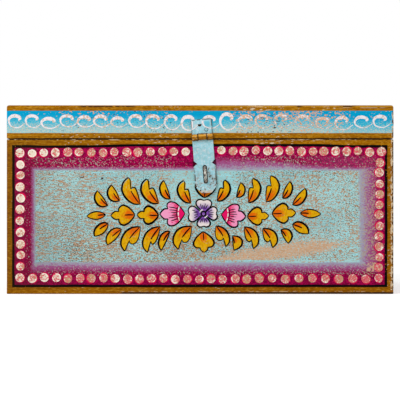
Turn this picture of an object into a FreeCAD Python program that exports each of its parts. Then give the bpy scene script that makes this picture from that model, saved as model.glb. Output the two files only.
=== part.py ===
"""A small painted wooden trunk.

Four walls on a base panel make the box. Four rails under a top panel make the lid, which swings on two butt
hinges at the back. A sheet-iron hasp hangs from the lid over a wire staple in the front wall.

Millimetres, +Z up, +X to the right, the front towards -Y. The origin is the middle of the underside.
"""

import FreeCAD, Part
import os
import re

import Sketcher

Vector = FreeCAD.Vector
Rotation = FreeCAD.Rotation
Placement = FreeCAD.Placement

# Driving dimensions, in millimetres and degrees: name, value, what it is.
SIZES = [
    ("box_width", 340.0, "outside width, left to right"),
    ("box_depth", 225.0, "outside depth, front to back, without the ironwork"),
    ("wall_height", 132.5, "height of the four walls above the base panel"),
    ("wall_thick", 12.0, "thickness of the walls and of the lid rails"),
    ("lip_thick", 5.0, "wood left over the rebates at the ends of front and back"),
    ("base_thick", 3.5, "thickness of the base panel"),
    ("lid_gap", 0.5, "gap between the walls and the closed lid"),
    ("rail_height", 24.5, "height of the lid rails"),
    ("top_thick", 5.0, "thickness of the lid's top panel"),
    ("arris_radius", 0.9, "rounding of the outer edges of the boards"),
    ("crown_radius", 2.0, "rounding of the lid's upper edge"),
    ("brad_side", 1.6, "square shank of the cut brads that hold the boards"),
    ("brad_head_side", 2.6, "square head of those brads, driven flush"),
    ("brad_head_thick", 0.8, "thickness of that head"),
    ("corner_brad_length", 22.0, "brads through front and back into the ends of the sides"),
    ("panel_brad_length", 16.0, "brads through the base and top panels"),
    ("nail_radius", 0.8, "shank of the nails that hold the ironwork"),
    ("nail_dome_radius", 1.7, "domed head of those nails"),
    ("nail_dome_height", 0.9, "height of that head"),
    ("nail_length", 10.0, "length of those nails under the head"),
    ("nail_clear", 0.05, "clearance round a nail or a wire in its hole"),
    ("sheet_thick", 1.2, "sheet iron of hasp and hinges"),
    ("pin_radius", 1.5, "hinge pins"),
    ("pin_clear", 0.05, "running clearance of a pin in its knuckle"),
    ("pin_stub", 0.4, "what a pin stands out of its barrel at each end"),
    ("seat_clear", 0.3, "barrels and strap clear of the wood"),
    ("knuckle_clear", 0.5, "gap between two knuckles, and round a knuckle"),
    ("hasp_shift", 2.0, "middle of the hasp's barrel, right of the trunk's middle"),
    ("hasp_rise", 1.85, "the hasp's barrel above the middle of the lid gap"),
    ("hasp_lean", 4.5, "degrees that the hasp was nailed on askew, right end up"),
    ("hasp_width", 18.2, "width of the hasp's leaf and of the strap's upper part"),
    ("hasp_leaf_height", 15.4, "top of the leaf above its barrel"),
    ("hasp_knuckle", 7.4, "length of the strap's knuckle"),
    ("upper_nail_shift", -1.6, "the leaf's upper nail, right of the leaf's middle"),
    ("upper_nail_rise", 10.9, "the leaf's upper nail above the barrel"),
    ("lower_nail_shift", 3.9, "the leaf's lower nail, right of the leaf's middle"),
    ("lower_nail_rise", 6.1, "the leaf's lower nail above the barrel"),
    ("notch_drop", 20.6, "upper corner of the strap's side notches below the barrel"),
    ("notch_height", 5.2, "height of those notches"),
    ("notch_depth", 2.6, "depth of those notches"),
    ("foot_width", 19.4, "width of the strap below its notches"),
    ("bend_drop", 43.2, "where the strap's tip bends out, below the barrel"),
    ("tip_drop", 49.4, "end of the tip below the barrel"),
    ("tip_width", 8.8, "width of the tip's end"),
    ("tip_bend", 26.0, "degrees that the tip is bent out"),
    ("slot_drop", 33.0, "middle of the slot and of the staple below the barrel"),
    ("slot_length", 16.4, "length of the strap's slot"),
    ("slot_width", 4.0, "width of the strap's slot"),
    ("wire_radius", 1.2, "wire of the staple"),
    ("staple_height", 14.6, "outside height of the staple"),
    ("staple_reach", 12.0, "the staple's crown out of the front wall"),
    ("clinch_radius", 1.8, "bend of the staple's legs inside the wall, at the middle of the wire"),
    ("clinch_length", 6.0, "straight end of each leg, turned along the wall"),
    ("hinge_spread", 190.0, "between the middles of the two back hinges"),
    ("hinge_width", 36.0, "length of a back hinge's barrel"),
    ("hinge_leaf_height", 15.0, "edge of a hinge leaf from its pin"),
    ("hinge_knuckle", 12.0, "length of a hinge's middle knuckle"),
    ("hinge_nail_spread", 24.0, "between the two nails of a hinge leaf"),
    ("hinge_nail_drop", 9.0, "nails of a hinge leaf from its pin"),
    ("overrun", 1.0, "how far a cut runs past the wood or iron it goes through"),
]

# Places of the brads along the boards, as shares of the length they follow.
CORNER_BRAD_SHARES = (0.14, 0.5, 0.86)
RAIL_BRAD_SHARES = (0.3, 0.7)
FRONT_BRAD_SHARES = (-0.4, -0.14, 0.14, 0.4)
SIDE_BRAD_SHARES = (-0.2, 0.2)

NAMES = {name for name, _, _ in SIZES}

# Sizes that follow from the driving ones and are used in several places.
BARREL = "(pin_radius + pin_clear + sheet_thick)"
AXIS_OUT = f"(seat_clear + {BARREL})"
BOX_TOP = "(base_thick + wall_height)"
LID_BOTTOM = f"({BOX_TOP} + lid_gap)"
LID_SEAT = f"({LID_BOTTOM} + rail_height)"
HINGE_LEVEL = f"({BOX_TOP} + lid_gap / 2)"
HASP_LEVEL = f"({HINGE_LEVEL} + hasp_rise)"
SIDE_LENGTH = "(box_depth - 2 * lip_thick)"
STAPLE_HALF = "(staple_height / 2 - wire_radius)"

doc = FreeCAD.newDocument("Trunk")
sheet = doc.addObject("Spreadsheet::Sheet", "Sizes")
for row, (name, number, words) in enumerate(SIZES, start=1):
    sheet.set(f"A{row}", name)
    sheet.set(f"B{row}", str(number))
    sheet.setAlias(f"B{row}", name)
    sheet.set(f"C{row}", words)
doc.recompute()

parts = {}


def bound(words):
    """An expression whose size names are references to the sheet's cells."""
    return re.sub(r"[a-z_]+", lambda m: f"Sizes.{m[0]}" if m[0] in NAMES else m[0], words)


def value(words):
    """What such an expression comes to now."""
    return float(sheet.evalExpression(bound(words)))


def bind(target, **expressions):
    """Bind properties of an object to expressions. A double underscore stands for a dot."""
    for name, words in expressions.items():
        target.setExpression(name.replace("__", "."), bound(words))


def keep(target, label):
    """Name an object as one sub-part of the trunk."""
    target.Label = label
    parts[label] = target
    return target


# Sketches and the features made from them.


def make_body(name):
    return doc.addObject("PartDesign::Body", name)


def make_sketch(body, role):
    """An empty sketch on one of the body's own origin planes."""
    plane = next(f for f in body.Origin.OriginFeatures if f.Role == role)
    drawn = body.newObject("Sketcher::SketchObject", "Sketch")
    drawn.AttachmentSupport = [(plane, "")]
    drawn.MapMode = "FlatFace"
    return drawn


def fix_point(drawn, geometry, end, corner):
    """Hold one point of a sketch at a pair of expressions."""
    for kind, words in zip(("DistanceX", "DistanceY"), corner):
        rule = Sketcher.Constraint(kind, -1, 1, geometry, end, value(words))
        drawn.setExpression(f"Constraints[{drawn.addConstraint(rule)}]", bound(words))


def point(corner):
    across, up = corner
    return Vector(value(across), value(up), 0)


def draw_polygon(drawn, corners):
    """A closed polygon through corners, each a pair of expressions."""
    ends = [point(c) for c in corners]
    lines = [drawn.addGeometry(Part.LineSegment(a, b)) for a, b in zip(ends, ends[1:] + ends[:1])]
    for line, after in zip(lines, lines[1:] + lines[:1]):
        drawn.addConstraint(Sketcher.Constraint("Coincident", line, 2, after, 1))
    for line, corner in zip(lines, corners):
        fix_point(drawn, line, 1, corner)


def draw_circle(drawn, centre, radius):
    circle = drawn.addGeometry(Part.Circle(point(centre), Vector(0, 0, 1), value(radius)))
    fix_point(drawn, circle, 3, centre)
    rule = Sketcher.Constraint("Radius", circle, value(radius))
    drawn.setExpression(f"Constraints[{drawn.addConstraint(rule)}]", bound(radius))


def draw_bent_wire(drawn, runs, middles):
    """Straight runs, each from corner to corner, joined by arcs that leave the run before them smoothly."""
    lines = []
    for start, stop in runs:
        line = drawn.addGeometry(Part.LineSegment(point(start), point(stop)))
        fix_point(drawn, line, 1, start)
        fix_point(drawn, line, 2, stop)
        lines.append(line)
    for i, middle in enumerate(middles):
        leaving, between, reaching = point(runs[i][1]), point(middle), point(runs[i + 1][0])
        leftward = (between - leaving).cross(reaching - between).z > 0
        ends = (leaving, reaching) if leftward else (reaching, leaving)
        arc = drawn.addGeometry(Part.Arc(ends[0], between, ends[1]))
        first, last = (1, 2) if leftward else (2, 1)
        drawn.addConstraint(Sketcher.Constraint("Tangent", lines[i], 2, arc, first))
        drawn.addConstraint(Sketcher.Constraint("Coincident", arc, last, lines[i + 1], 1))


def add_pad(body, drawn, length, both_ways=False, reverse=False):
    pad = body.newObject("PartDesign::Pad", "Pad")
    pad.Profile = drawn
    pad.Midplane = both_ways
    pad.Reversed = reverse
    bind(pad, Length=length)
    doc.recompute()
    return pad


def add_cut(body, drawn):
    """A pocket right through the body, both ways from its sketch."""
    pocket = body.newObject("PartDesign::Pocket", "Pocket")
    pocket.Profile = drawn
    pocket.Type = "ThroughAll"
    pocket.Midplane = True
    before = body.Shape.Volume
    doc.recompute()
    if not body.Shape.Volume < before:
        raise RuntimeError(f"{body.Name}: a pocket cuts nothing")
    return pocket


def add_rounding(body, base, radius, wanted):
    """Round the edges of a feature whose two ends both pass the test that wanted gives."""
    names = [
        f"Edge{i}"
        for i, edge in enumerate(base.Shape.Edges, start=1)
        if wanted(*(v.Point for v in edge.Vertexes))
    ]
    fillet = body.newObject("PartDesign::Fillet", "Fillet")
    fillet.Base = (base, names)
    bind(fillet, Radius=radius)
    doc.recompute()
    return fillet


def near(a, b):
    return abs(a - b) < Part.Precision.confusion() * 10


# Boards. A board lies along its own X with its outer face at Y = 0, and stands on Z = 0.


def make_board(name, corners, height, foot_round=False):
    """A board of that plan, with its upright outer corners and its upper or lower outer edge rounded."""
    body = make_body(name)
    plan = make_sketch(body, "XY_Plane")
    draw_polygon(plan, corners)
    pad = add_pad(body, plan, height)
    level = 0 if foot_round else value(height)
    half = max(v.Point.x for v in pad.Shape.Vertexes)
    lapped = len(corners) > 4

    def outer_edge(a, b):
        along = near(a.z, level) and near(b.z, level)
        front = near(a.y, 0) and near(b.y, 0)
        end = lapped and any(near(a.x, s * half) and near(b.x, s * half) for s in (-1, 1))
        upright = lapped and front and end
        return upright or (along and (front or end))

    add_rounding(body, pad, "arris_radius", outer_edge)
    return body


def lapped_plan():
    """Plan of a front or back board: rebated at both ends to take the ends of the sides."""
    half, shoulder = "box_width / 2", "(box_width / 2 - wall_thick)"
    return [
        (f"-{half}", "0"),
        (half, "0"),
        (half, "lip_thick"),
        (shoulder, "lip_thick"),
        (shoulder, "wall_thick"),
        (f"-{shoulder}", "wall_thick"),
        (f"-{shoulder}", "lip_thick"),
        (f"-{half}", "lip_thick"),
    ]


def side_plan():
    half = f"{SIDE_LENGTH} / 2"
    return [(f"-{half}", "0"), (half, "0"), (half, "wall_thick"), (f"-{half}", "wall_thick")]


def stand(target, turn, across, along, up):
    """Turn a piece about Z by whole right angles and put it in its place."""
    target.Placement = Placement(Vector(), Rotation(Vector(0, 0, 1), turn))
    bind(target, Placement__Base__x=across, Placement__Base__y=along, Placement__Base__z=up)
    return target


def make_frame(prefix, height, level, foot_round):
    """The four boards of the box or of the lid, as bodies without their nail holes."""
    places = {
        "front": (lapped_plan(), 0, "0", "-box_depth / 2"),
        "back": (lapped_plan(), 180, "0", "box_depth / 2"),
        "left": (side_plan(), 270, "-box_width / 2", "0"),
        "right": (side_plan(), 90, "box_width / 2", "0"),
    }
    boards = {}
    for side, (plan, turn, across, along) in places.items():
        body = make_board(f"{prefix}_{side}", plan, height, foot_round)
        boards[side] = stand(body, turn, across, along, level)
    return boards


def make_panel(name, thick, level, edge_radius, upper):
    """A flat panel of the trunk's whole plan, rounded at its corners and at its upper or lower edge."""
    half_width, half_depth = "box_width / 2", "box_depth / 2"
    body = make_body(name)
    plan = make_sketch(body, "XY_Plane")
    draw_polygon(
        plan,
        [
            (f"-{half_width}", f"-{half_depth}"),
            (half_width, f"-{half_depth}"),
            (half_width, half_depth),
            (f"-{half_width}", half_depth),
        ],
    )
    pad = add_pad(body, plan, thick)
    corners = add_rounding(body, pad, "arris_radius", lambda a, b: not near(a.z, b.z))
    face = value(thick) if upper else 0
    add_rounding(body, corners, edge_radius, lambda a, b: near(a.z, face) and near(b.z, face))
    return stand(body, 0, "0", "0", level)


# Brads and nails. Each is made upright on Z with its head at the top, and then driven along a direction.


def turned(outline):
    """A solid of revolution about Z from edges that start and end on that axis."""
    closing = Part.LineSegment(outline[-1].Vertexes[-1].Point, outline[0].Vertexes[0].Point).toShape()
    face = Part.Face(Part.Wire(outline + [closing]))
    return face.revolve(Vector(), Vector(0, 0, 1), 360)


def lines(*ends):
    return [Part.LineSegment(a, b).toShape() for a, b in zip(ends, ends[1:])]


def shank_ends(radius, length):
    """From under the head to the tip, which is as long as the shank is thick."""
    return Vector(radius, 0, 2 * radius - length), Vector(0, 0, -length)


def square_bar(side, low, high):
    """A square bar about Z between two levels."""
    return Part.makeBox(side, side, high - low, Vector(-side / 2, -side / 2, low))


def brad(length, clear=0.0, over=0.0):
    """A cut brad, square in section, with its head's face at Z = 0, or the hole for one."""
    seat = -value("brad_head_thick") - clear
    head = square_bar(value("brad_head_side") + 2 * clear, seat, over)
    shank = square_bar(value("brad_side") + 2 * clear, -length - clear, seat)
    return head.fuse(shank).Solids[0]


def domed_nail(clear=0.0):
    """A round-headed nail with the underside of its head at Z = 0, or the hole for one."""
    radius, height = value("nail_dome_radius"), value("nail_dome_height")
    shank = value("nail_radius") + clear
    ball = (radius**2 + height**2) / (2 * height)
    crown, rim = Vector(0, 0, height), Vector(radius, 0, 0)
    halfway = Vector(radius / 2, 0, height - ball + (ball**2 - (radius / 2) ** 2) ** 0.5)
    dome = Part.Arc(crown, halfway, rim).toShape()
    shaft = lines(rim, Vector(shank, 0, 0), *shank_ends(shank, value("nail_length") + clear))
    return turned([dome] + shaft)


def driven(solid, places):
    """Copies of a nail, each put at a point and driven along a direction."""
    copies = []
    for spot, direction in places:
        copy = solid.copy()
        copy.Placement = Placement(spot, Rotation(Vector(0, 0, -1), direction))
        copies.append(copy)
    return copies


def make_group(name, solids):
    group = doc.addObject("Part::Feature", name)
    group.Shape = Part.makeCompound(solids)
    return group


def corner_places(level, height, shares):
    """Brads at the four corners, through the laps of front and back into the ends of the sides."""
    across = value("(box_width - wall_thick) / 2")
    face = value("box_depth / 2")
    return [
        (Vector(side * across, front * face, value(f"{level} + {height} * {share}")), Vector(0, -front, 0))
        for side in (-1, 1)
        for front in (-1, 1)
        for share in shares
    ]


def panel_places(level, way):
    """Brads through a panel, up or down into the edges of the boards behind it."""
    across, along = value("(box_width - wall_thick) / 2"), value("(box_depth - wall_thick) / 2")
    drive = Vector(0, 0, way)
    long_rows = [
        Vector(share * value("box_width"), front * along, value(level))
        for front in (-1, 1)
        for share in FRONT_BRAD_SHARES
    ]
    short_rows = [
        Vector(side * across, share * value("box_depth"), value(level))
        for side in (-1, 1)
        for share in SIDE_BRAD_SHARES
    ]
    return [(spot, drive) for spot in long_rows + short_rows]


# Ironwork. A fitting has its wood at Y = 0, stands out towards -Y and has its pin along X at Z = 0.


def barrel_middle():
    return (f"-{AXIS_OUT}", "0")


def add_barrel(body, length):
    ring = make_sketch(body, "YZ_Plane")
    draw_circle(ring, barrel_middle(), BARREL)
    add_pad(body, ring, length, both_ways=True)


def add_bore(body):
    bore = make_sketch(body, "YZ_Plane")
    draw_circle(bore, barrel_middle(), "(pin_radius + pin_clear)")
    add_cut(body, bore)


def add_nail_holes(body, places):
    holes = make_sketch(body, "XZ_Plane")
    for place in places:
        draw_circle(holes, place, "(nail_radius + nail_clear)")
    add_cut(body, holes)


def make_outer_leaf(name, width, height, knuckle, nail_spots):
    """A leaf that rises from the two outer knuckles of its barrel."""
    body = make_body(name)
    plate = make_sketch(body, "XZ_Plane")
    half = f"({width}) / 2"
    draw_polygon(plate, [(f"-{half}", "0"), (half, "0"), (half, height), (f"-{half}", height)])
    add_pad(body, plate, "sheet_thick")
    add_barrel(body, width)
    gap = make_sketch(body, "XZ_Plane")
    side, level = f"({knuckle} / 2 + knuckle_clear)", f"({BARREL} + knuckle_clear)"
    draw_polygon(
        gap,
        [(f"-{side}", f"-{level}"), (side, f"-{level}"), (side, level), (f"-{side}", level)],
    )
    add_cut(body, gap)
    add_bore(body)
    add_nail_holes(body, nail_spots)
    return body


def shouldered_plate(width, knuckle, height):
    """Outline of a leaf that hangs from a middle knuckle, clear of the outer ones."""
    half, neck, shoulder = f"({width}) / 2", f"{knuckle} / 2", f"-({BARREL} + knuckle_clear)"
    return [
        (f"-{neck}", "0"),
        (f"-{neck}", shoulder),
        (f"-{half}", shoulder),
        (f"-{half}", f"-{height}"),
        (half, f"-{height}"),
        (half, shoulder),
        (neck, shoulder),
        (neck, "0"),
    ]


def make_middle_leaf(name, width, height, knuckle, nail_spots):
    """A leaf that hangs from the middle knuckle of its barrel."""
    body = make_body(name)
    plate = make_sketch(body, "XZ_Plane")
    draw_polygon(plate, shouldered_plate(width, knuckle, height))
    add_pad(body, plate, "sheet_thick")
    add_barrel(body, knuckle)
    add_bore(body)
    add_nail_holes(body, nail_spots)
    return body


def make_pin(name, width):
    """A hinge pin, standing out of its barrel by a stub at each end."""
    body = make_body(name)
    end = make_sketch(body, "YZ_Plane")
    draw_circle(end, barrel_middle(), "pin_radius")
    pad = add_pad(body, end, f"{width} + 2 * pin_stub", both_ways=True)
    rims = [f"Edge{i}" for i, edge in enumerate(pad.Shape.Edges, start=1) if edge.isClosed()]
    chamfer = body.newObject("PartDesign::Chamfer", "Chamfer")
    chamfer.Base = (pad, rims)
    bind(chamfer, Size="pin_stub")
    doc.recompute()
    return body


def hinge_nail_spots(way):
    return [(f"{side}hinge_nail_spread / 2", f"{way}hinge_nail_drop") for side in ("-", "")]


# The strap of the hasp: a side profile with its bent tip, trimmed to the outline seen from the front.


def strap_profile():
    """Side view of the strap as (out, up) corners: the plate and the tip that is bent out of it."""
    back, face = "-seat_clear", "-(seat_clear + sheet_thick)"
    rise = "(tip_drop - bend_drop)"
    tip_out = f"{rise} * tan(tip_bend)"
    thick_out = "sheet_thick / cos(tip_bend)"
    bend_lift = "sheet_thick * tan(tip_bend / 2)"
    return [
        (back, "0"),
        (back, "-bend_drop"),
        (f"{back} - {tip_out}", "-tip_drop"),
        (f"{back} - {tip_out} - {thick_out}", "-tip_drop"),
        (face, f"-bend_drop + {bend_lift}"),
        (face, "0"),
    ]


def strap_outline():
    """Front view of the strap: neck, shoulders, a notch in each side, the wider foot and its clipped tip."""
    shoulder = f"-({BARREL} + knuckle_clear)"
    right = [
        ("hasp_knuckle / 2", f"({BARREL} + overrun)"),
        ("hasp_knuckle / 2", shoulder),
        ("hasp_width / 2", shoulder),
        ("hasp_width / 2", "-notch_drop"),
        ("(hasp_width / 2 - notch_depth)", "-(notch_drop + notch_height / 2)"),
        ("foot_width / 2", "-(notch_drop + notch_height)"),
        ("foot_width / 2", "-bend_drop"),
        ("tip_width / 2", "-tip_drop"),
    ]
    return right + [(f"-{across}", up) for across, up in reversed(right)]


def make_strap(name):
    body = make_body(name)
    profile = make_sketch(body, "YZ_Plane")
    draw_polygon(profile, strap_profile())
    add_pad(body, profile, "foot_width + 2 * overrun", both_ways=True)
    add_barrel(body, "hasp_knuckle")
    trim = make_sketch(body, "XZ_Plane")
    side, level = "(foot_width / 2 + 2 * overrun)", f"({BARREL} + 2 * overrun)"
    foot = "-(tip_drop + overrun)"
    draw_polygon(trim, [(f"-{side}", level), (side, level), (side, foot), (f"-{side}", foot)])
    draw_polygon(trim, strap_outline())
    add_cut(body, trim)
    add_bore(body)
    add_slot(body)
    return body


def add_slot(body):
    """The strap's slot, as a rectangle with a round end above and below."""
    straight = "(slot_length / 2 - slot_width / 2)"
    side = "slot_width / 2"
    for sign in ("-", "+"):
        end = make_sketch(body, "XZ_Plane")
        draw_circle(end, ("0", f"-slot_drop {sign} {straight}"), side)
        add_cut(body, end)
    middle = make_sketch(body, "XZ_Plane")
    low, high = f"-slot_drop - {straight}", f"-slot_drop + {straight}"
    draw_polygon(middle, [(f"-{side}", low), (side, low), (side, high), (f"-{side}", high)])
    add_cut(body, middle)


# The staple: a bent wire through the front wall, with both legs clinched against its inner face.


def staple_runs():
    """The straight runs of the wire's middle, and the middle of each bend, as (inwards, up) corners."""
    inner = "wall_thick + clinch_radius"
    crown = f"-(staple_reach - wire_radius - {STAPLE_HALF})"
    slack = "clinch_radius * (1 - cos(45))"
    end = (inner, f"{STAPLE_HALF} + clinch_radius + clinch_length")
    turn = (inner, f"{STAPLE_HALF} + clinch_radius")
    bend = (f"{inner} - {slack}", f"{STAPLE_HALF} + {slack}")
    leg = ("wall_thick", STAPLE_HALF)
    shoulder = (crown, STAPLE_HALF)

    def below(corner):
        return corner[0], f"-({corner[1]})"

    upper = [(end, turn), (leg, shoulder)]
    lower = [(below(stop), below(start)) for start, stop in reversed(upper)]
    return upper + lower, [bend, ("-(staple_reach - wire_radius)", "0"), below(bend)]


def make_staple(name):
    runs, bends = staple_runs()
    (end_in, end_up), _ = runs[0]
    body = make_body(name)
    path = make_sketch(body, "YZ_Plane")
    draw_bent_wire(path, runs, bends)
    section = make_sketch(body, "XY_Plane")
    draw_circle(section, ("0", end_in), "wire_radius")
    bind(section, AttachmentOffset__Base__z=end_up)
    pipe = body.newObject("PartDesign::AdditivePipe", "Pipe")
    pipe.Profile = section
    pipe.Spine = path
    doc.recompute()
    swept = value("pi * wire_radius ^ 2") * path.Shape.Length
    print(f"staple wire: volume {body.Shape.Volume:.2f}, section times length {swept:.2f}")
    return body


def askew(target, drop="0"):
    """Put a piece of the hasp on the front of the trunk, leaning as the hasp was nailed on."""
    target.Placement = Placement(Vector(), Rotation(Vector(0, -1, 0), value("hasp_lean")))
    bind(
        target,
        Placement__Rotation__Angle="hasp_lean",
        Placement__Base__x=f"hasp_shift + {drop} * sin(hasp_lean)",
        Placement__Base__y="-box_depth / 2",
        Placement__Base__z=f"{HASP_LEVEL} - {drop} * cos(hasp_lean)",
    )
    return target


def on_hasp(across, up):
    """A point of the trunk's front from a place on the hasp's own axes."""
    base = Vector(value("hasp_shift"), value("-box_depth / 2"), value(HASP_LEVEL))
    lean = Rotation(Vector(0, -1, 0), value("hasp_lean"))
    return base + lean.multVec(Vector(value(across), value("-sheet_thick"), value(up)))


def on_hinge(side, across, up):
    """A point of the trunk's back from a place on a back hinge's own axes."""
    middle = value("hinge_spread") / 2 * side
    return Vector(middle - value(across), value("box_depth / 2 + sheet_thick"), value(HINGE_LEVEL) + value(up))


def with_holes(target, label, *tools):
    """A board with its nail holes cut, as one sub-part."""
    for i, tool in enumerate(tools):
        cut = doc.addObject("Part::Cut", f"{target.Name}_holes_{i}")
        cut.Base = target
        cut.Tool = tool
        target = cut
    return keep(target, label)


# Brads, nails and the holes that they leave in the wood.

clear, over = value("nail_clear"), value("overrun")
corner_length, panel_length = value("corner_brad_length"), value("panel_brad_length")

box_corners = corner_places("base_thick", "wall_height", CORNER_BRAD_SHARES)
lid_corners = corner_places(LID_BOTTOM, "rail_height", RAIL_BRAD_SHARES)
base_rows = panel_places("0", 1)
top_rows = panel_places(f"{LID_SEAT} + top_thick", -1)

HASP_NAILS = [("upper_nail_shift", "upper_nail_rise"), ("lower_nail_shift", "lower_nail_rise")]
into_front, into_back = Vector(0, 1, 0), Vector(0, -1, 0)
hasp_spots = [(on_hasp(*spot), into_front) for spot in HASP_NAILS]
lid_hinge_spots = [(on_hinge(s, *spot), into_back) for s in (-1, 1) for spot in hinge_nail_spots("")]
box_hinge_spots = [(on_hinge(s, *spot), into_back) for s in (-1, 1) for spot in hinge_nail_spots("-")]

keep(make_group("CornerBrads", driven(brad(corner_length), box_corners)), "corner_brads")
keep(make_group("LidCornerBrads", driven(brad(corner_length), lid_corners)), "lid_corner_brads")
keep(make_group("BaseBrads", driven(brad(panel_length), base_rows)), "base_brads")
keep(make_group("TopBrads", driven(brad(panel_length), top_rows)), "top_brads")
keep(make_group("HaspNails", driven(domed_nail(), hasp_spots)), "hasp_nails")
keep(make_group("LidHingeNails", driven(domed_nail(), lid_hinge_spots)), "lid_hinge_nails")
keep(make_group("BoxHingeNails", driven(domed_nail(), box_hinge_spots)), "box_hinge_nails")

box_holes = make_group(
    "BoxHoles",
    driven(brad(corner_length, clear, over), box_corners)
    + driven(brad(panel_length, clear, over), base_rows)
    + driven(domed_nail(clear), box_hinge_spots),
)
lid_holes = make_group(
    "LidHoles",
    driven(brad(corner_length, clear, over), lid_corners)
    + driven(brad(panel_length, clear, over), top_rows)
    + driven(domed_nail(clear), hasp_spots + lid_hinge_spots),
)

# The box.

walls = make_frame("Wall", "wall_height", "base_thick", foot_round=False)
leg_holes = make_sketch(walls["front"], "XZ_Plane")
for leg in (f"(slot_drop - {STAPLE_HALF})", f"(slot_drop + {STAPLE_HALF})"):
    spot = (
        f"hasp_shift + {leg} * sin(hasp_lean)",
        f"{HASP_LEVEL} - base_thick - {leg} * cos(hasp_lean)",
    )
    draw_circle(leg_holes, spot, "(wire_radius + nail_clear)")
add_cut(walls["front"], leg_holes)
for side, wall in walls.items():
    with_holes(wall, f"{side}_board", box_holes)
with_holes(make_panel("BasePanel", "base_thick", "0", "arris_radius", upper=False), "base_panel", box_holes)

# The lid.

rails = make_frame("Rail", "rail_height", LID_BOTTOM, foot_round=True)
for side, rail in rails.items():
    with_holes(rail, f"lid_{side}_rail", lid_holes)
with_holes(make_panel("TopPanel", "top_thick", LID_SEAT, "crown_radius", upper=True), "lid_top_panel", lid_holes)

# The hasp and its staple.

hasp_leaf = make_outer_leaf("HaspLeaf", "hasp_width", "hasp_leaf_height", "hasp_knuckle", HASP_NAILS)
keep(askew(hasp_leaf), "hasp_leaf")
keep(askew(make_pin("HaspPin", "hasp_width")), "hasp_pin")
keep(askew(make_strap("HaspStrap")), "hasp_strap")
keep(askew(make_staple("Staple"), drop="slot_drop"), "staple")

# The two back hinges.

HINGE = ("hinge_width", "hinge_leaf_height", "hinge_knuckle")
for side, sign in (("left", "-"), ("right", "")):
    place = (180, f"{sign}hinge_spread / 2", "box_depth / 2", HINGE_LEVEL)
    lid_leaf = make_outer_leaf(f"LidLeaf_{side}", *HINGE, hinge_nail_spots(""))
    box_leaf = make_middle_leaf(f"BoxLeaf_{side}", *HINGE, hinge_nail_spots("-"))
    keep(stand(lid_leaf, *place), f"{side}_hinge_lid_leaf")
    keep(stand(box_leaf, *place), f"{side}_hinge_box_leaf")
    keep(stand(make_pin(f"HingePin_{side}", "hinge_width"), *place), f"{side}_hinge_pin")

doc.recompute()

failed = [o.Name for o in doc.Objects if {"Invalid", "Error"} & set(o.State)]
if failed:
    raise RuntimeError(f"these objects did not build: {failed}")
for label, piece in parts.items():
    if piece.Shape.isNull() or not piece.Shape.isValid() or not piece.Shape.Solids:
        raise RuntimeError(f"{label} has no valid solid")

os.makedirs("parts", exist_ok=True)
for label, piece in parts.items():
    piece.Shape.exportStep(f"parts/{label}.step")
print(f"{len(parts)} sub-parts written")
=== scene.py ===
"""Looks of a small painted wooden trunk: worn paint, brushed ornament and painted ironwork.

Lengths are in millimetres until a mesh or a light is made. Every face has its own drawing coordinates:
u to the right and v up, seen from outside.
"""

import copy
import math
import random
from collections import namedtuple

import bmesh
import bpy
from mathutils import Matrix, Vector


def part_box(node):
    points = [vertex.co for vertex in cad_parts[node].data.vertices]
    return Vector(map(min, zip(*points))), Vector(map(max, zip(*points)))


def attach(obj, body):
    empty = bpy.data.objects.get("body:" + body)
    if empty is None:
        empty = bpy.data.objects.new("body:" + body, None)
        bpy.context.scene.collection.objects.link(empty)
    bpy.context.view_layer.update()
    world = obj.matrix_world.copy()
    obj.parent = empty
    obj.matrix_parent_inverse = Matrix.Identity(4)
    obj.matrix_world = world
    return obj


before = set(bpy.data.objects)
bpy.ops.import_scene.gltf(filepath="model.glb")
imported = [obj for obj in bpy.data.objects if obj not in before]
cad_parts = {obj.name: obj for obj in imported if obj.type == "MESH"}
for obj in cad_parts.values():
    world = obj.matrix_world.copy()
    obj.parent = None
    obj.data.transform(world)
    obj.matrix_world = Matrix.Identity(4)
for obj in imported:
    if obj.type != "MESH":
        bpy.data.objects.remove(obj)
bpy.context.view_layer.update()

MM = 0.001
PER_METRE = 1000

# The photograph's scale: millimetres of the front face to one pixel, and the pixel of its zero point.
PIXEL = 0.879
PHOTO_MIDDLE = 200.1
PHOTO_FOOT = 294


def column(px):
    """Where a column of the photograph's pixels lies across the front face."""
    return (px - PHOTO_MIDDLE) * PIXEL


def row(py):
    """How high a row of its pixels lies."""
    return (PHOTO_FOOT - py) * PIXEL


def at(px, py):
    """Where one of its pixels lies on the front face."""
    return Vector((column(px), row(py)))


def rgb(red, green, blue):
    """A colour as a screen shows it, 0 to 255 each, as the light values that shaders take."""
    def light(level):
        share = level / 255
        return share / 12.92 if share <= 0.04045 else ((share + 0.055) / 1.055) ** 2.4
    return light(red), light(green), light(blue), 1


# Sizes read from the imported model.
front_low, front_high = (corner * PER_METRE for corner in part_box("front_board"))
top_low, top_high = (corner * PER_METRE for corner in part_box("lid_top_panel"))
HALF_WIDTH = front_high.x
HALF_DEPTH = -front_low.y
RIM = front_high.z
LID_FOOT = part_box("lid_front_rail")[0].z * PER_METRE
LID_SEAT = top_low.z
CROWN = top_high.z


class Face:
    """A flat face that takes paint: the origin of its drawing, its right and its up."""

    def __init__(self, origin, right, up):
        self.origin = Vector(origin)
        self.right = Vector(right)
        self.up = Vector(up)
        self.out = self.right.cross(self.up)

    def point(self, flat, lift):
        """A point of the drawing, lifted off the face, in metres."""
        return (self.origin + self.right * flat.x + self.up * flat.y + self.out * lift) * MM

    def grain(self, long, high, deep=6):
        """Sizes along the three axes of a mark that is long along u and high along v."""
        spans = zip(self.right, self.up, self.out)
        return tuple(abs(u) * long + abs(v) * high + abs(w) * deep for u, v, w in spans)


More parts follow.
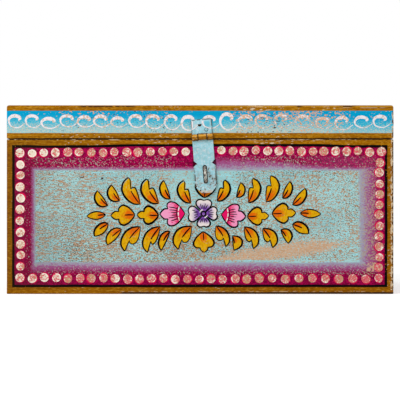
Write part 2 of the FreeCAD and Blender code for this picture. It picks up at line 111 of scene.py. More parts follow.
FRONT = Face((0, -HALF_DEPTH, 0), (1, 0, 0), (0, 0, 1))
BACK = Face((0, HALF_DEPTH, 0), (-1, 0, 0), (0, 0, 1))
LEFT = Face((-HALF_WIDTH, 0, 0), (0, -1, 0), (0, 0, 1))
RIGHT = Face((HALF_WIDTH, 0, 0), (0, 1, 0), (0, 0, 1))
TOP = Face((0, 0, CROWN), (1, 0, 0), (0, 1, 0))

# The hasp was nailed on askew: its barrel's middle, its lean and the outer face of its leaf.
HASP_MIDDLE = (2, 138.1)
HASP_LEAN = math.radians(4.5)
HASP_SHEET = 1.2
HASP_RIGHT = (math.cos(HASP_LEAN), 0, math.sin(HASP_LEAN))
HASP_UP = (-math.sin(HASP_LEAN), 0, math.cos(HASP_LEAN))
HASP = Face((HASP_MIDDLE[0], -HALF_DEPTH - HASP_SHEET, HASP_MIDDLE[1]), HASP_RIGHT, HASP_UP)

# Painted fields of a face: the outside and the inside of the black line, the panel's edge, how far the
# panel's spray reaches into the border on each side, and how much further it reaches at the top middle.
Field = namedtuple("Field", "left right bottom top")
Fields = namedtuple("Fields", "line border panel spray rise")


def shrunk(field, by):
    """A field whose edges all lie further in."""
    return Field(field.left + by, field.right - by, field.bottom + by, field.top - by)


LINE_WIDTH = 1.7
BORDER_WIDTH = 19.5
EVEN_SPRAY = 7
EDGE = 0.25
FRONT_FIELDS = Fields(
    line=Field(-165.2, 164.6, 6, 131.9),
    border=Field(-163, 162.2, 8.2, 129.6),
    panel=Field(-144.7, 140.6, 27.7, 108.6),
    spray=Field(4.5, 17.2, 9.2, 3.6),
    rise=9.2,
)


def even_fields(line):
    """Fields of a face that is the same on all its sides."""
    spray = Field(EVEN_SPRAY, EVEN_SPRAY, EVEN_SPRAY, EVEN_SPRAY)
    return Fields(line, shrunk(line, LINE_WIDTH), shrunk(line, BORDER_WIDTH), spray, 0)


SIDE_FIELDS = even_fields(Field(-107, 107, 6, 131.7))
TOP_FIELDS = even_fields(Field(-164, 164, -106.5, 106.5))
BACK_LINE = Field(-160, 160, 10, 127)

# Colours.
WHITE = (1, 1, 1, 1)
FLOOR_GREY = (0.8, 0.8, 0.8, 1)
OCHRE = rgb(172, 114, 6)
OCHRE_DARK = rgb(148, 92, 2)
OCHRE_DEEP = rgb(122, 68, 0)
OCHRE_LIGHT = rgb(196, 146, 48)
SCRATCH = rgb(212, 190, 158)
NICK = rgb(58, 38, 24)
BLACK = rgb(5, 4, 5)
MAGENTA = rgb(176, 4, 80)
MAGENTA_DARK = rgb(118, 2, 52)
# Painted shadow behind the hasp strap's side notches.
NOTCH_SHADOW = rgb(52, 4, 22)
DUSTY = rgb(160, 86, 136)
LILAC = rgb(160, 158, 180)
GREY_FLECK = rgb(170, 168, 160)
TAN_FLECK = rgb(174, 154, 132)
PANEL = rgb(168, 214, 214)
PANEL_GREY = rgb(152, 200, 202)
PANEL_BRIGHT = rgb(160, 226, 234)
PANEL_DARK = rgb(84, 94, 90)
TAN = rgb(188, 140, 100)
BARE = rgb(206, 170, 138)
SPECK = rgb(70, 42, 34)
LID_LOW = rgb(152, 200, 204)
LID_MIDDLE = rgb(54, 182, 210)
LID_HIGH = rgb(0, 158, 204)
LID_PALE = rgb(204, 202, 186)
PEACH = rgb(216, 168, 132)
CREAM = rgb(232, 217, 196)
CREAM_LIGHT = rgb(246, 238, 222)
BLOTCH = rgb(214, 58, 84)
DAB_GROUND = rgb(212, 14, 72)
DAB_TAN = rgb(190, 158, 116)
STROKE = rgb(238, 229, 232)
STROKE_WORN = rgb(204, 192, 178)
YELLOW = rgb(222, 170, 8)
ORANGE = rgb(226, 98, 6)
ORANGE_DARK = rgb(186, 112, 2)
PINK = rgb(242, 156, 194)
PINK_MIDDLE = rgb(228, 70, 136)
PINK_DEEP = rgb(226, 18, 98)
PETAL_WHITE = rgb(234, 222, 218)
VIOLET = rgb(126, 74, 170)
WOOD = rgb(158, 112, 70)
WOOD_DARK = rgb(112, 74, 44)
HASP_BLUE = rgb(162, 214, 226)
HASP_GREY = rgb(148, 196, 204)
# A painted highlight on the hasp's knuckles.
GOLD_HIGHLIGHT = rgb(228, 168, 66)
IRON = rgb(74, 62, 52)
RUST = rgb(104, 62, 34)
WIRE = rgb(206, 206, 196)


def operation(name):
    """A method that works out one sum of a value with others."""
    return lambda value, *others: value.nodes.math(name, value, *others)


class Value:
    """A number or a colour that varies over a surface; sums with it add nodes to its tree."""

    def __init__(self, nodes, socket):
        self.nodes = nodes
        self.socket = socket

    __add__ = operation("ADD")
    __sub__ = operation("SUBTRACT")
    __mul__ = operation("MULTIPLY")
    __truediv__ = operation("DIVIDE")
    __abs__ = operation("ABSOLUTE")
    most = operation("MAXIMUM")
    least = operation("MINIMUM")

    def __rsub__(self, other):
        return self.nodes.math("SUBTRACT", other, self)

    def fade(self, start, end):
        """0 before start, 1 after end, smooth between; start may be the larger of the two."""
        return self.nodes.add("ShaderNodeMapRange", self, start, end, interpolation_type="SMOOTHSTEP")

    def window(self, start, end, soft):
        """1 between start and end, 0 outside."""
        return self.fade(start - soft, start + soft) * self.fade(end + soft, end - soft)


class Nodes:
    """A node tree. Its methods add nodes and return their results."""

    # Which of a mixing node's sockets serve colours.
    share_in, ground_in, coat_in, mixed_out = 0, 6, 7, 2

    def __init__(self, tree):
        self.tree = tree

    def feed(self, socket, value):
        """Link a socket to a value, or set it to a constant."""
        if isinstance(value, Value):
            self.tree.links.new(value.socket, socket)
        else:
            socket.default_value = value

    def add(self, kind, *values, output=0, **settings):
        """Add a node, set its options, feed its inputs in order and return a result."""
        node = self.tree.nodes.new(kind)
        for name, setting in settings.items():
            setattr(node, name, setting)
        for socket, value in zip(node.inputs, values):
            self.feed(socket, value)
        return Value(self, node.outputs[output])

    def math(self, name, *values):
        """The result of one sum."""
        return self.add("ShaderNodeMath", *values, operation=name)

    def coats(self, ground, *coats):
        """A ground colour under coats, each a colour and how far it covers, from 0 to 1."""
        for colour, share in coats:
            node = self.tree.nodes.new("ShaderNodeMix")
            node.data_type = "RGBA"
            sockets = {self.share_in: share, self.ground_in: ground, self.coat_in: colour}
            for number, value in sockets.items():
                self.feed(node.inputs[number], value)
            ground = Value(self, node.outputs[self.mixed_out])
        return ground

    def seen(self):
        """1 for what the camera or a reflection sees, 0 for what only sheds light."""
        seen = self.add("ShaderNodeLightPath", output="Is Camera Ray")
        for ray in ("Is Glossy Ray", "Is Transmission Ray"):
            seen = seen.most(self.add("ShaderNodeLightPath", output=ray))
        return seen


class Paint(Nodes):
    """One material, drawn in the coordinates of a face; x, y and z are those of the model."""

    fleck_edge = 0.045
    seed_steps = (17.3, 9.1, 5.7)

    def __init__(self, name, face=FRONT):
        self.material = bpy.data.materials.new(name)
        self.material.use_nodes = True
        super().__init__(self.material.node_tree)
        self.face = face
        where = self.add("ShaderNodeTexCoord", output="Object")
        self.place = self.add("ShaderNodeVectorMath", where, (PER_METRE,) * 3, operation="MULTIPLY")
        axes = (self.add("ShaderNodeSeparateXYZ", self.place, output=axis) for axis in "XYZ")
        self.x, self.y, self.z = axes

    def on(self, face):
        """The same material, drawn in the coordinates of another face."""
        other = copy.copy(self)
        other.face = face
        return other

    def along(self, way):
        """Distance from the face's origin along any direction."""
        values = (self.place, tuple(way))
        dot = self.add("ShaderNodeVectorMath", *values, output="Value", operation="DOT_PRODUCT")
        return dot - way.dot(self.face.origin)

    def uv(self):
        """The drawing coordinates."""
        return self.along(self.face.right), self.along(self.face.up)

    def depth(self):
        """How deep a point lies under the face."""
        return self.along(-self.face.out)

    def span(self, start, end, soft):
        """1 between two columns of the photograph, 0 beside them."""
        return self.x.window(column(start), column(end), soft)

    def tone(self):
        """The value that a piece of brushwork carries at its points."""
        return self.add("ShaderNodeAttribute", output="Fac", attribute_name="tone")

    def noise(self, size, seed, detail=2):
        """Noise from 0 to 1. The size of its lumps is one number, or their grain on the face."""
        sizes = self.face.grain(*size) if isinstance(size, tuple) else (size,) * 3
        scale = tuple(1 / length for length in sizes)
        shift = tuple(seed * step for step in self.seed_steps)
        place = self.add("ShaderNodeVectorMath", self.place, scale, shift, operation="MULTIPLY_ADD")
        time, zoom = 0, 1
        return self.add("ShaderNodeTexNoise", place, time, zoom, detail)

    def sway(self, size, reach, seed):
        """Noise around zero, up to about half the reach either way."""
        return self.noise(size, seed) * reach - reach / 2

    def worn(self, size, level, seed, cloud=32, uneven=0.35, bias=0):
        """Worn flecks, here thick and there thin; a lower level or more bias wears more."""
        value = self.noise(size, seed, detail=3) + self.sway(cloud, uneven, seed + 1) + bias
        return value.fade(level, level + self.fleck_edge)

    def shade(self, inputs):
        """Feed inputs of the shader by their names."""
        for name, value in inputs.items():
            self.feed(self.tree.nodes["Principled BSDF"].inputs[name], value)
        return self.material

    def finish(self, colour, relief, depth, rough=(0.5, 0.8), gloss=0.03, chips=0):
        """Feed the shader. The relief, from 0 to 1, stands for a depth in millimetres.

        rough is the roughness at the relief's bottom and top, chips is what is missing from its height.
        """
        smooth, coarse = rough
        bump = self.tree.nodes.new("ShaderNodeBump")
        bump.inputs["Distance"].default_value = depth * MM
        self.feed(bump.inputs["Height"], relief - chips)
        return self.shade({
            "Base Color": colour,
            "Roughness": relief * (coarse - smooth) + smooth,
            "Specular IOR Level": gloss,
            "Normal": Value(self, bump.outputs[0]),
        })


# Paint on the wood.

# Spans along the lid and the rim that hands have rubbed most, in pixels, and how much.
HANDLED = ((60, 178, 0.75), (232, 352, 1))


def handled(paint):
    """How much a place has been rubbed by hands, from 0 to 1."""
    first, second = (paint.span(start, end, soft=12) * share for start, end, share in HANDLED)
    return first + second


def ochre(paint):
    """Brushed ochre with darker streaks, pale scratches and dark nicks."""
    fine = paint.noise((3, 1), seed=5, detail=4)
    high = paint.z.fade(120, 132)
    rubbed = (handled(paint) * high).most(paint.x.fade(158, 167))
    return paint.coats(
        OCHRE_DARK,
        (OCHRE, paint.noise((24, 1.1), seed=1).fade(0.36, 0.62)),
        (OCHRE_LIGHT, paint.noise((12, 5), seed=2).fade(0.6, 0.9)),
        (OCHRE_DEEP, (1 - high) * 0.4),
        (OCHRE_DEEP, fine.fade(0.52, 0.66) * 0.7),
        (OCHRE_LIGHT, fine.fade(0.46, 0.34) * 0.5),
        (SCRATCH, paint.worn((3.2, 0.9), 0.72, seed=3, cloud=45, uneven=0.4, bias=rubbed * 0.07)),
        (NICK, paint.worn((1.8, 1.2), 0.8, seed=4)),
    )


def inside(u, v, field, wobble):
    """Distance inside the edges of a field, below zero outside it, with the wobble of a hand."""
    across = (u - field.left).least(field.right - u)
    upright = (v - field.bottom).least(field.top - v)
    return across.least(upright) + wobble


def sprayed(u, v, fields):
    """How far out in the border a point lies: 0 at the panel's edge and 1 where the spray ends."""
    panel, spray = fields.panel, fields.spray
    rise = u.fade(-2, 8) * u.fade(130, 10) * fields.rise
    across = ((panel.left - u) / spray.left).most((u - panel.right) / spray.right)
    below = (panel.bottom - v) / spray.bottom
    above = (v - panel.top) / (rise + spray.top)
    return across.most(below).most(above)


def magenta_border(paint, fields, out, inner, clean):
    """Magenta that the panel's spray turns dusty and lilac, with grey flecks that thicken to the right.

    out is how far out in the border a point lies, inner how far it lies from the black line, and
    clean is 1 where nothing has rubbed the paint.
    """
    u, v = paint.uv()
    panel = fields.panel
    at_left = u.fade(panel.left + 1, panel.left - 5)
    at_right = u.fade(panel.right - 1, panel.right + 5)
    at_foot = v.fade(panel.bottom + 1, panel.bottom - 5)
    at_top = v.fade(panel.top - 1, panel.top + 5)
    dusted = at_top * u.fade(70, 125) * inner.fade(5, 12)
    mist = out + paint.sway((1.5, 1), 0.9, seed=12)
    thicker = u * 0.0001 + at_right * 0.03
    thinner = at_foot * 0.03 + at_left * 0.06 + dusted * 0.09 + inner.fade(10, 5) * 0.16 + clean * 0.12
    flecks = paint.worn((1, 0.9), 0.56, seed=13, uneven=0.15, bias=thicker - thinner)
    return paint.coats(
        MAGENTA_DARK,
        (MAGENTA, paint.noise((1.5, 1.1), seed=11, detail=3).fade(0.41, 0.6)),
        (MAGENTA_DARK, at_left * 0.35),
        (MAGENTA_DARK, at_foot * 0.2),
        (DUSTY, dusted * 0.2),
        (DUSTY, mist.fade(1.1, 0.4)),
        (LILAC, mist.fade(0.5, 0.06)),
        (paint.coats(GREY_FLECK, (TAN_FLECK, at_right)), flecks * 0.9),
    )


def blue_panel(paint, patch=0, clean=0):
    """Pale blue, brushed along the grain and rubbed down to the tan undercoat in flecks.

    patch is 1 where the paint is rubbed off altogether, clean is 1 where nothing has rubbed it.
    """
    u, v = paint.uv()
    on_left = u.fade(-40, -95)
    lower = v.fade(80, 35) * (u.fade(30, 110) * -0.05 + 0.035) - clean * 0.07
    flecks = paint.worn((1.5, 0.8), 0.54, seed=23, cloud=30, uneven=0.25, bias=lower - on_left * 0.045)
    lines = paint.worn((4.5, 0.85), 0.6, seed=24, cloud=30, uneven=0.2, bias=on_left * 0.07)
    dull = paint.worn((1.2, 0.8), 0.56, seed=27, cloud=40, uneven=0.15, bias=lower)
    bare = paint.coats(
        BARE,
        (PANEL, paint.noise((1.6, 1), seed=28, detail=3).fade(0.54, 0.6) * 0.6),
        (TAN, paint.noise((2.4, 1), seed=20, detail=3).fade(0.48, 0.62) * 0.5),
    )
    return paint.coats(
        PANEL_GREY,
        (PANEL, paint.noise((60, 30), seed=21).fade(0.35, 0.65)),
        (PANEL_BRIGHT, paint.noise((14, 1.3), seed=22).fade(0.5, 0.75) * 0.8),
        (TAN, flecks * 0.95),
        (TAN, lines * 0.8),
        (PANEL_DARK, dull * 0.9),
        (SPECK, paint.worn((1.6, 1), 0.775, seed=25)),
        (bare, patch),
    )


def beside_hasp(paint):
    """How near the strap a place lies, from 0 to 1: the paint there is hardly rubbed."""
    u, v = paint.on(HASP).uv()
    return abs(u).fade(38, 16) * v.fade(-64, -48)


def slot_shade(paint):
    """Painted shade on the wood behind the strap's slot, where its hollow is dark."""
    u, v = paint.on(HASP).uv()
    return u.window(-2.3, 2.3, 0.3) * v.window(-41.6, -24.4, 0.4)


def notch_shadow(paint):
    """Painted shadow on the paint behind the strap's side notches."""
    u, v = paint.on(HASP).uv()
    return abs(u).window(6, 10.4, 0.5) * v.window(-25.8, -20.2, 0.8)


def front_patch(paint):
    """The long bare patch at the lower right of the front, where the paint is rubbed off."""
    middle, reach, thickness = 70, 56, 9
    level, slope = 37, 0.135
    u, v = paint.uv()
    offset = (u - middle) / reach
    square = offset * offset
    bell = paint.math("EXPONENT", square * square * -1)
    off = abs(v - (u - middle) * slope - level)
    ragged = paint.sway((1.6, 1), 22, seed=26) + paint.sway(14, 5, seed=29)
    return (bell * thickness - off + ragged).fade(1.6, 3.4)


def foot_strip(paint):
    """A strip along the foot of the front's panel, on the right, where the blue has stayed clean."""
    below, above = 1, 2.2
    foot = FRONT_FIELDS.panel.bottom
    u, v = paint.uv()
    ragged = v + paint.sway((7, 7), 2, seed=30)
    return ragged.window(foot - below, foot + above, 0.5) * u.fade(-25, 0)


# Dark nicks in the front's panel and the scuff in its lower right corner, in pixels: middle, half width
# and half height.
NICKS = (((102.2, 178.4), 1.1, 1), ((82, 177.2), 2, 0.5))
SCUFF = ((372, 267), 7, 6)


def mark(paint, middle, wide, high, soft):
    """A mark on the front, placed in pixels."""
    px, py = middle
    u, v = paint.uv()
    across = u.window(column(px - wide), column(px + wide), soft)
    return across * v.window(row(py + high), row(py - high), soft)


def framed_scheme(paint, fields, patch=0, clean=0):
    """Ochre frame, black line, magenta border and pale blue panel on one face.

    The hand that drew the black line let it sag at the top, towards its ends.
    """
    sag, straight_at = 1.1, 20
    u, v = paint.uv()
    line_v = v + abs(u - straight_at).fade(70, 125) * v.fade(60, 110) * sag
    outer = inside(u, line_v, fields.line, paint.sway(26, 1.2, seed=31))
    inner = inside(u, line_v, fields.border, paint.sway(26, 1.2, seed=32))
    out = sprayed(u, v, fields) + paint.sway(40, 0.3, seed=33)
    chips = paint.worn((1.5, 1.5), 0.73, seed=34, bias=u.fade(140, 160) * 0.07)
    return paint.coats(
        ochre(paint),
        (BLACK, outer.fade(-EDGE, EDGE) * (1 - chips)),
        (magenta_border(paint, fields, out, inner, clean), inner.fade(-EDGE, EDGE)),
        (blue_panel(paint, patch, clean), out.fade(0.1, -0.1)),
    )


def worn_end(paint, colour, pale_from, dark_from):
    """The right end of the front, chipped along its edge to pale undercoat and dark wood."""
    soft = 0.4
    on_front = paint.depth().fade(1.2, 0.8)
    ragged = paint.x + paint.sway((2, 3, 2), 2.6, seed=42)
    light = paint.noise((2, 2.4, 2), seed=41, detail=3).fade(0.43, 0.5)
    dark = paint.noise((2, 3, 2), seed=44, detail=3).fade(0.58, 0.5)
    return paint.coats(
        colour,
        (SCRATCH, ragged.fade(pale_from, pale_from + soft) * on_front * light),
        (NICK, ragged.fade(dark_from, dark_from + soft) * on_front * dark),
    )


def front_scheme(paint):
    """The front: the framed scheme with its bare patch, darker towards its left end, and worn edges."""
    u, v = paint.uv()
    strip = foot_strip(paint)
    patch = front_patch(paint) * (1 - strip)
    clean = beside_hasp(paint).most(strip)
    scuff = mark(paint, *SCUFF, soft=3.5) + paint.sway((2.6, 2.6), 1.6, seed=45)
    colour = paint.coats(
        framed_scheme(paint, FRONT_FIELDS, patch, clean),
        *((SPECK, mark(paint, *nick, soft=0.4)) for nick in NICKS),
        # Darker towards the left end.
        (NICK, u.fade(-90, -166) * 0.22),
        (BARE, scuff.fade(0.82, 0.97) * 0.9),
    )
    rubbed = handled(paint) * 0.08 + paint.noise((5, 2, 2), seed=43, detail=3)
    edge = paint.coats(NICK, (SCRATCH, rubbed.fade(0.56, 0.66)))
    return paint.coats(
        worn_end(paint, colour, pale_from=167.5, dark_from=168.7),
        (edge, v.fade(RIM - 1, RIM - 0.5) * rubbed.fade(0.36, 0.46) * 0.8),
        # Painted shade behind the strap's slot.
        (IRON, slot_shade(paint)),
        # Painted shadow behind the strap's side notches.
        (NOTCH_SHADOW, notch_shadow(paint) * 0.85),
    )


def back_scheme(paint):
    """The plainer back: ochre frame, black line and rubbed blue, with no ornament."""
    outer = inside(*paint.uv(), BACK_LINE, paint.sway(26, 1.2, seed=51))
    return paint.coats(
        ochre(paint),
        (BLACK, outer.fade(-EDGE, EDGE)),
        (blue_panel(paint), outer.fade(LINE_WIDTH - 0.3, LINE_WIDTH + 0.3)),
    )


def side_scheme(paint):
    """The sides: the framed scheme, even all round."""
    return framed_scheme(paint, SIDE_FIELDS)


def lid_scheme(paint):
    """A lid rail: ochre along its foot, then blue that deepens upwards, with pale and peach flecks and
    painted shade along its lower edge.
    """
    band_top = 141.6
    u, v = paint.uv()
    rubbed = handled(paint)
    low = v.fade(155, 146)
    height = v + u.fade(90, 150) * 3 + paint.sway((4, 1.6), 3.4, seed=61)
    pale = paint.worn((1.4, 0.9), 0.54, seed=67, cloud=40, uneven=0.25, bias=rubbed * 0.04)
    peach_bias = rubbed * 0.13 - low * 0.07
    edge = v + paint.sway(30, 0.8, seed=66)
    foot = v + paint.sway((12, 12), 1.4, seed=68)
    colour = paint.coats(
        LID_LOW,
        (LID_MIDDLE, height.fade(143, 151.5)),
        (LID_HIGH, height.fade(151, 158)),
        (LID_PALE, pale * low * 0.8),
        (PEACH, paint.worn((1.6, 1), 0.67, seed=62, cloud=40, uneven=0.25, bias=peach_bias)),
        (SPECK, paint.worn((1.9, 1.2), 0.745, seed=64, cloud=40, uneven=0.4, bias=rubbed * 0.085)),
        (ochre(paint), edge.fade(band_top + 0.2, band_top - 0.2)),
        # Painted shade along the rail's lower edge, over the gap above the box.
        (NICK, foot.fade(LID_FOOT + 0.8, LID_FOOT + 0.3)),
    )
    if paint.face is FRONT:
        colour = worn_end(paint, colour, pale_from=168.4, dark_from=168.6)
    return colour


def bare_wood(paint):
    """Plain aged wood with its grain along the face."""
    grain = paint.noise((60, 2.4, 2.4), seed=71, detail=4)
    return paint.coats(WOOD_DARK, (WOOD, grain.fade(0.35, 0.68)))


def board(name, face, scheme):
    """A board that is painted outside and bare inside; the paint runs over the edges a little."""
    paint = Paint(name, face)
    depth = paint.depth() + paint.sway((5, 5), 3, seed=72)
    ends = abs(paint.x).fade(HALF_WIDTH - 1, HALF_WIDTH - 0.6)
    colour = paint.coats(bare_wood(paint), (scheme(paint), depth.fade(3.2, 2.6).most(ends)))
    flecks = paint.worn((2.5, 0.95), 0.585, seed=23)
    return paint.finish(colour, paint.noise((20, 0.8), seed=73), depth=0.12, chips=flecks * 0.6)


# Where the lid's upper edge is worn to dark wood, and where a pale streak runs below it, in pixels.
DARK_SPANS = ((80, 135), (296, 302), (341, 354))
PALE_SPAN = (338, 385)


def crown_edge(paint):
    """The edge of the top panel: ochre, with a painted highlight along the crown on the right and worn
    spots along it.
    """
    ragged = paint.noise((4, 1.2, 4), seed=81, detail=3).fade(0.36, 0.46)
    arris = paint.z.fade(CROWN - 1.9, CROWN - 1.4) * ragged
    broken = paint.noise((6, 1, 6), seed=82).fade(0.42, 0.52)
    below = paint.z.window(CROWN - 2.6, CROWN - 1.9, 0.15)
    return paint.coats(
        ochre(paint),
        # Painted highlight along the rounded crown, on its right half.
        (OCHRE_LIGHT, paint.z.fade(CROWN - 1.8, CROWN - 0.9) * paint.x.fade(-10, 20) * 0.8),
        *((NICK, arris * paint.span(start, end, soft=3)) for start, end in DARK_SPANS),
        (SCRATCH, below * paint.span(*PALE_SPAN, soft=4) * broken * 0.5),
    )


def top_panel():
    """The lid's top panel: an ornamented face, ochre edges and bare wood below."""
    paint = Paint("top_panel_paint", TOP)
    colour = paint.coats(
        framed_scheme(paint, TOP_FIELDS),
        (crown_edge(paint.on(FRONT)), paint.z.fade(CROWN - 0.5, CROWN - 0.9)),
        (bare_wood(paint), paint.z.fade(LID_SEAT + 0.3, LID_SEAT + 0.1)),
    )
    return paint.finish(colour, paint.noise((20, 0.8, 0.8), seed=73), depth=0.12)


def base_panel():
    """The base panel: ochre on its edges, worn to bare dark wood on the right, bare below."""
    worn_from, worn_to = -70, -58
    paint = Paint("base_panel_wood")
    rubbed = (paint.x + paint.sway(14, 60, seed=91)).fade(worn_from, worn_to)
    low = (paint.z + paint.sway(5, 1.6, seed=94)).fade(2, 1.6)
    broken = paint.noise((4, 1, 4), seed=92, detail=3).fade(0.52, 0.58)
    colour = paint.coats(
        bare_wood(paint),
        (ochre(paint), paint.z.fade(0.2, 0.4)),
        (NICK, rubbed * low * 0.9),
        (SCRATCH, rubbed * paint.z.window(1.9, 2.5, 0.2) * broken * 0.6),
    )
    return paint.finish(colour, paint.noise((40, 1.4, 1.4), seed=93), depth=0.2, rough=(0.6, 0.9))


def box_scheme(paint):
    """The paint of the front and of the back on one material."""
    back = back_scheme(paint.on(BACK))
    return paint.coats(front_scheme(paint), (back, paint.y.fade(-1, 1)))


def brads(name, scheme, seed, face=FRONT):
    """Brad heads under the same paint as the boards."""
    paint = Paint(name, face)
    return paint.finish(scheme(paint), paint.noise(0.9, seed), depth=0.1)


# Paint on the ironwork.

# Roughness at the bottom and at the top of a relief.
SILKY = (0.45, 0.75)
METALLIC = (0.35, 0.7)


def hasp_paint():
    """Pale blue over sheet iron, mottled and chipped, with the knuckles in ochre."""
    # The coordinates start in the barrel's middle, and the strap hangs below it.
    paint = Paint("hasp_paint")
    u, v = paint.on(HASP).uv()
    half = abs(u)
    low = v.fade(-18, -40)
    mottle = paint.noise(5, seed=111, detail=4)
    pale = paint.noise((2.6, 5, 2.6), seed=112, detail=3)
    fine = paint.noise(1.4, seed=118, detail=3)
    chip = paint.noise(2, seed=113, detail=3) + low * 0.15
    edges = half.fade(8.3, 8.9).most(v.fade(14.5, 15.1))
    ragged = paint.noise((2, 4, 2), seed=114).fade(0.36, 0.46)
    colour = paint.coats(
        HASP_GREY,
        (HASP_BLUE, mottle.fade(0.38, 0.62)),
        (STROKE, pale.fade(0.5, 0.8) * 0.3),
        (HASP_GREY, fine.fade(0.54, 0.66) * 0.5),
        (STROKE, fine.fade(0.46, 0.34) * 0.4),
        (BARE, v.fade(-45.5, -48.5) * pale.fade(0.3, 0.5) * 0.7),
        (GREY_FLECK, chip.fade(0.64, 0.72) * 0.7),
        (IRON, chip.fade(0.76, 0.8)),
        (IRON, edges * ragged * v.fade(2, 3).most(low)),
        (LID_MIDDLE, u.window(2.4, 7.2, 0.9) * v.window(8.8, 13.6, 0.9) * 0.7),
        (hasp_gold(paint, half, v), hasp_barrel(paint, v)),
    )
    chips = chip.fade(0.7, 0.78)
    return paint.finish(colour, mottle, depth=0.12, rough=(0.4, 0.7), gloss=0.1, chips=chips)


def hasp_barrel(paint, v):
    """A mask of the rolled knuckles."""
    rolled = paint.depth().fade(-1.4, -1.7)
    return rolled * (v + paint.sway(4, 0.5, seed=115)).window(-3.2, 2.6, 0.15)


def hasp_gold(paint, half, v):
    """Ochre of the knuckles, with a painted highlight along their upper side and painted shade in the gaps
    between them, nicked at the ends.
    """
    gap_start, gap_end = 3.45, 4.45
    return paint.coats(
        ochre(paint),
        # Painted highlight along the knuckles' upper side.
        (GOLD_HIGHLIGHT, v.window(0.4, 1.8, 0.4) * 0.75),
        # Painted shade in the gaps between the knuckles.
        (BLACK, (half + paint.sway(1.5, 0.5, seed=117)).window(gap_start, gap_end, 0.15)),
        (SCRATCH, paint.worn(1.3, 0.66, seed=119, cloud=6, uneven=0.5) * 0.85),
        (NICK, paint.noise(1.6, seed=116).fade(0.6, 0.66) * half.fade(4.6, 6)),
    )


def nail_paint():
    """The leaf's two nails under the blue: the upper one dark over its lower part, the lower one ringed
    dark round its head.
    """
    lower_u, lower_v = 3.9, 6.1
    paint = Paint("hasp_nail_paint")
    u, v = paint.on(HASP).uv()
    du, dv = u - lower_u, v - lower_v
    away = paint.math("SQRT", du * du + dv * dv)
    lump = paint.noise(1.2, seed=121)
    blue = paint.coats(HASP_GREY, (HASP_BLUE, lump.fade(0.42, 0.62)))
    upper = paint.coats(blue, (NICK, v.fade(11.7, 11)))
    lower = paint.coats(blue, (NICK, away.fade(1.15, 1.4)))
    colour = paint.coats(upper, (lower, v.fade(8.6, 8.2)))
    return paint.finish(colour, lump, depth=0.1, rough=SILKY, gloss=0.2)


def worn_iron(name, coat, level, gloss):
    """Rusty iron with remains of a coat of paint."""
    paint = Paint(name)
    lump = paint.noise(3, seed=131, detail=4)
    remains = paint.noise(2.2, seed=132, detail=3).fade(level, level + 0.06)
    colour = paint.coats(IRON, (RUST, lump.fade(0.4, 0.6)), (coat, remains))
    return paint.finish(colour, lump, depth=0.1, rough=METALLIC, gloss=gloss)


def staple_paint():
    """Bright worn wire, dark towards the slot's upper end and rusty at its foot."""
    paint = Paint("staple_wire")
    _, v = paint.on(HASP).uv()
    lump = paint.noise(1.6, seed=131, detail=4)
    colour = paint.coats(
        WIRE,
        (IRON, lump.fade(0.46, 0.62)),
        (IRON, v.fade(-30.5, -27) * 0.7),
        (RUST, v.fade(-37.5, -40.5) * 0.9),
    )
    return paint.finish(colour, lump, depth=0.1, rough=METALLIC, gloss=0.4)


# Paint of the brushwork.


def dab_paint():
    """Cream dabs with a light rim, speckled with pink and tan; creamier at the far left."""
    paint = Paint("dab_paint")
    tone, x, z = paint.tone(), paint.x, paint.z
    lump = paint.noise(1.4, seed=141, detail=4)
    pinker = x.fade(-150, -105) * 0.12 + z.fade(60, 10) * (x.fade(90, 150) * 0.1 + 0.05)
    beside_strap = x.window(-19, 24, 2) * z.fade(90, 110)
    paler = tone.fade(0.7, 1) * 0.08 + beside_strap * 0.14
    blotch = lump + paint.sway(9, 0.7, seed=143) + pinker - paler
    tan = paint.worn(1.2, 0.56, seed=142, cloud=9, uneven=0.6, bias=x.fade(-150, 40) * 0.05)
    colour = paint.coats(
        CREAM,
        (CREAM_LIGHT, tone.fade(0.55, 0.9)),
        (BLOTCH, blotch.fade(0.48, 0.62) * 0.92),
        (DAB_TAN, tan * 0.85),
        (CREAM_LIGHT, paint.noise(1, seed=144, detail=3).fade(0.6, 0.66) * 0.8),
    )
    return paint.finish(colour, lump, depth=0.15)


def speckled(name, ground, specks, size, seed, levels, depth):
    """One colour with specks of another, which come in between two levels of the noise."""
    paint = Paint(name)
    lump = paint.noise(size, seed, detail=3)
    return paint.finish(paint.coats(ground, (specks, lump.fade(*levels))), lump, depth)


def leaf_paint():
    """Yellow leaves that turn orange towards their base, streaked, with painted shade behind the strap's
    slot.
    """
    paint = Paint("leaf_paint")
    share = paint.tone() + paint.sway(1.8, 0.7, seed=151)
    colour = paint.coats(
        ORANGE,
        (YELLOW, share.fade(0, 0.66)),
        (ORANGE_DARK, paint.noise((0.9, 2.4, 4), seed=154).fade(0.5, 0.64) * 0.6),
        (GREY_FLECK, paint.worn(1.2, 0.69, seed=152) * 0.6),
        # Painted shade behind the strap's slot.
        (IRON, slot_shade(paint)),
    )
    return paint.finish(colour, paint.noise(0.9, seed=153), depth=0.08, rough=SILKY)


def tulip_paint():
    """Pink petals with a deep pink base."""
    paint = Paint("tulip_paint")
    share = paint.tone() + paint.sway((4, 0.8, 4), 0.55, seed=161)
    streaks = paint.noise((3, 0.9, 2), seed=163).fade(0.48, 0.62)
    colour = paint.coats(
        PINK,
        (PINK_MIDDLE, streaks * share.fade(0.8, 0.4)),
        (PINK_DEEP, share.fade(0.56, 0.26)),
    )
    return paint.finish(colour, paint.noise(0.9, seed=162), depth=0.08, rough=SILKY)


def petal_paint():
    """White petals, violet towards the flower's middle."""
    paint = Paint("petal_paint")
    share = paint.tone() + paint.sway(1.8, 0.4, seed=171)
    colour = paint.coats(VIOLET, (PETAL_WHITE, share.fade(0.34, 0.86)))
    return paint.finish(colour, paint.noise(0.9, seed=172), depth=0.08, rough=SILKY)


# Where the curls are rubbed faint, in pixels.
FAINT_SPAN = (266, 330)


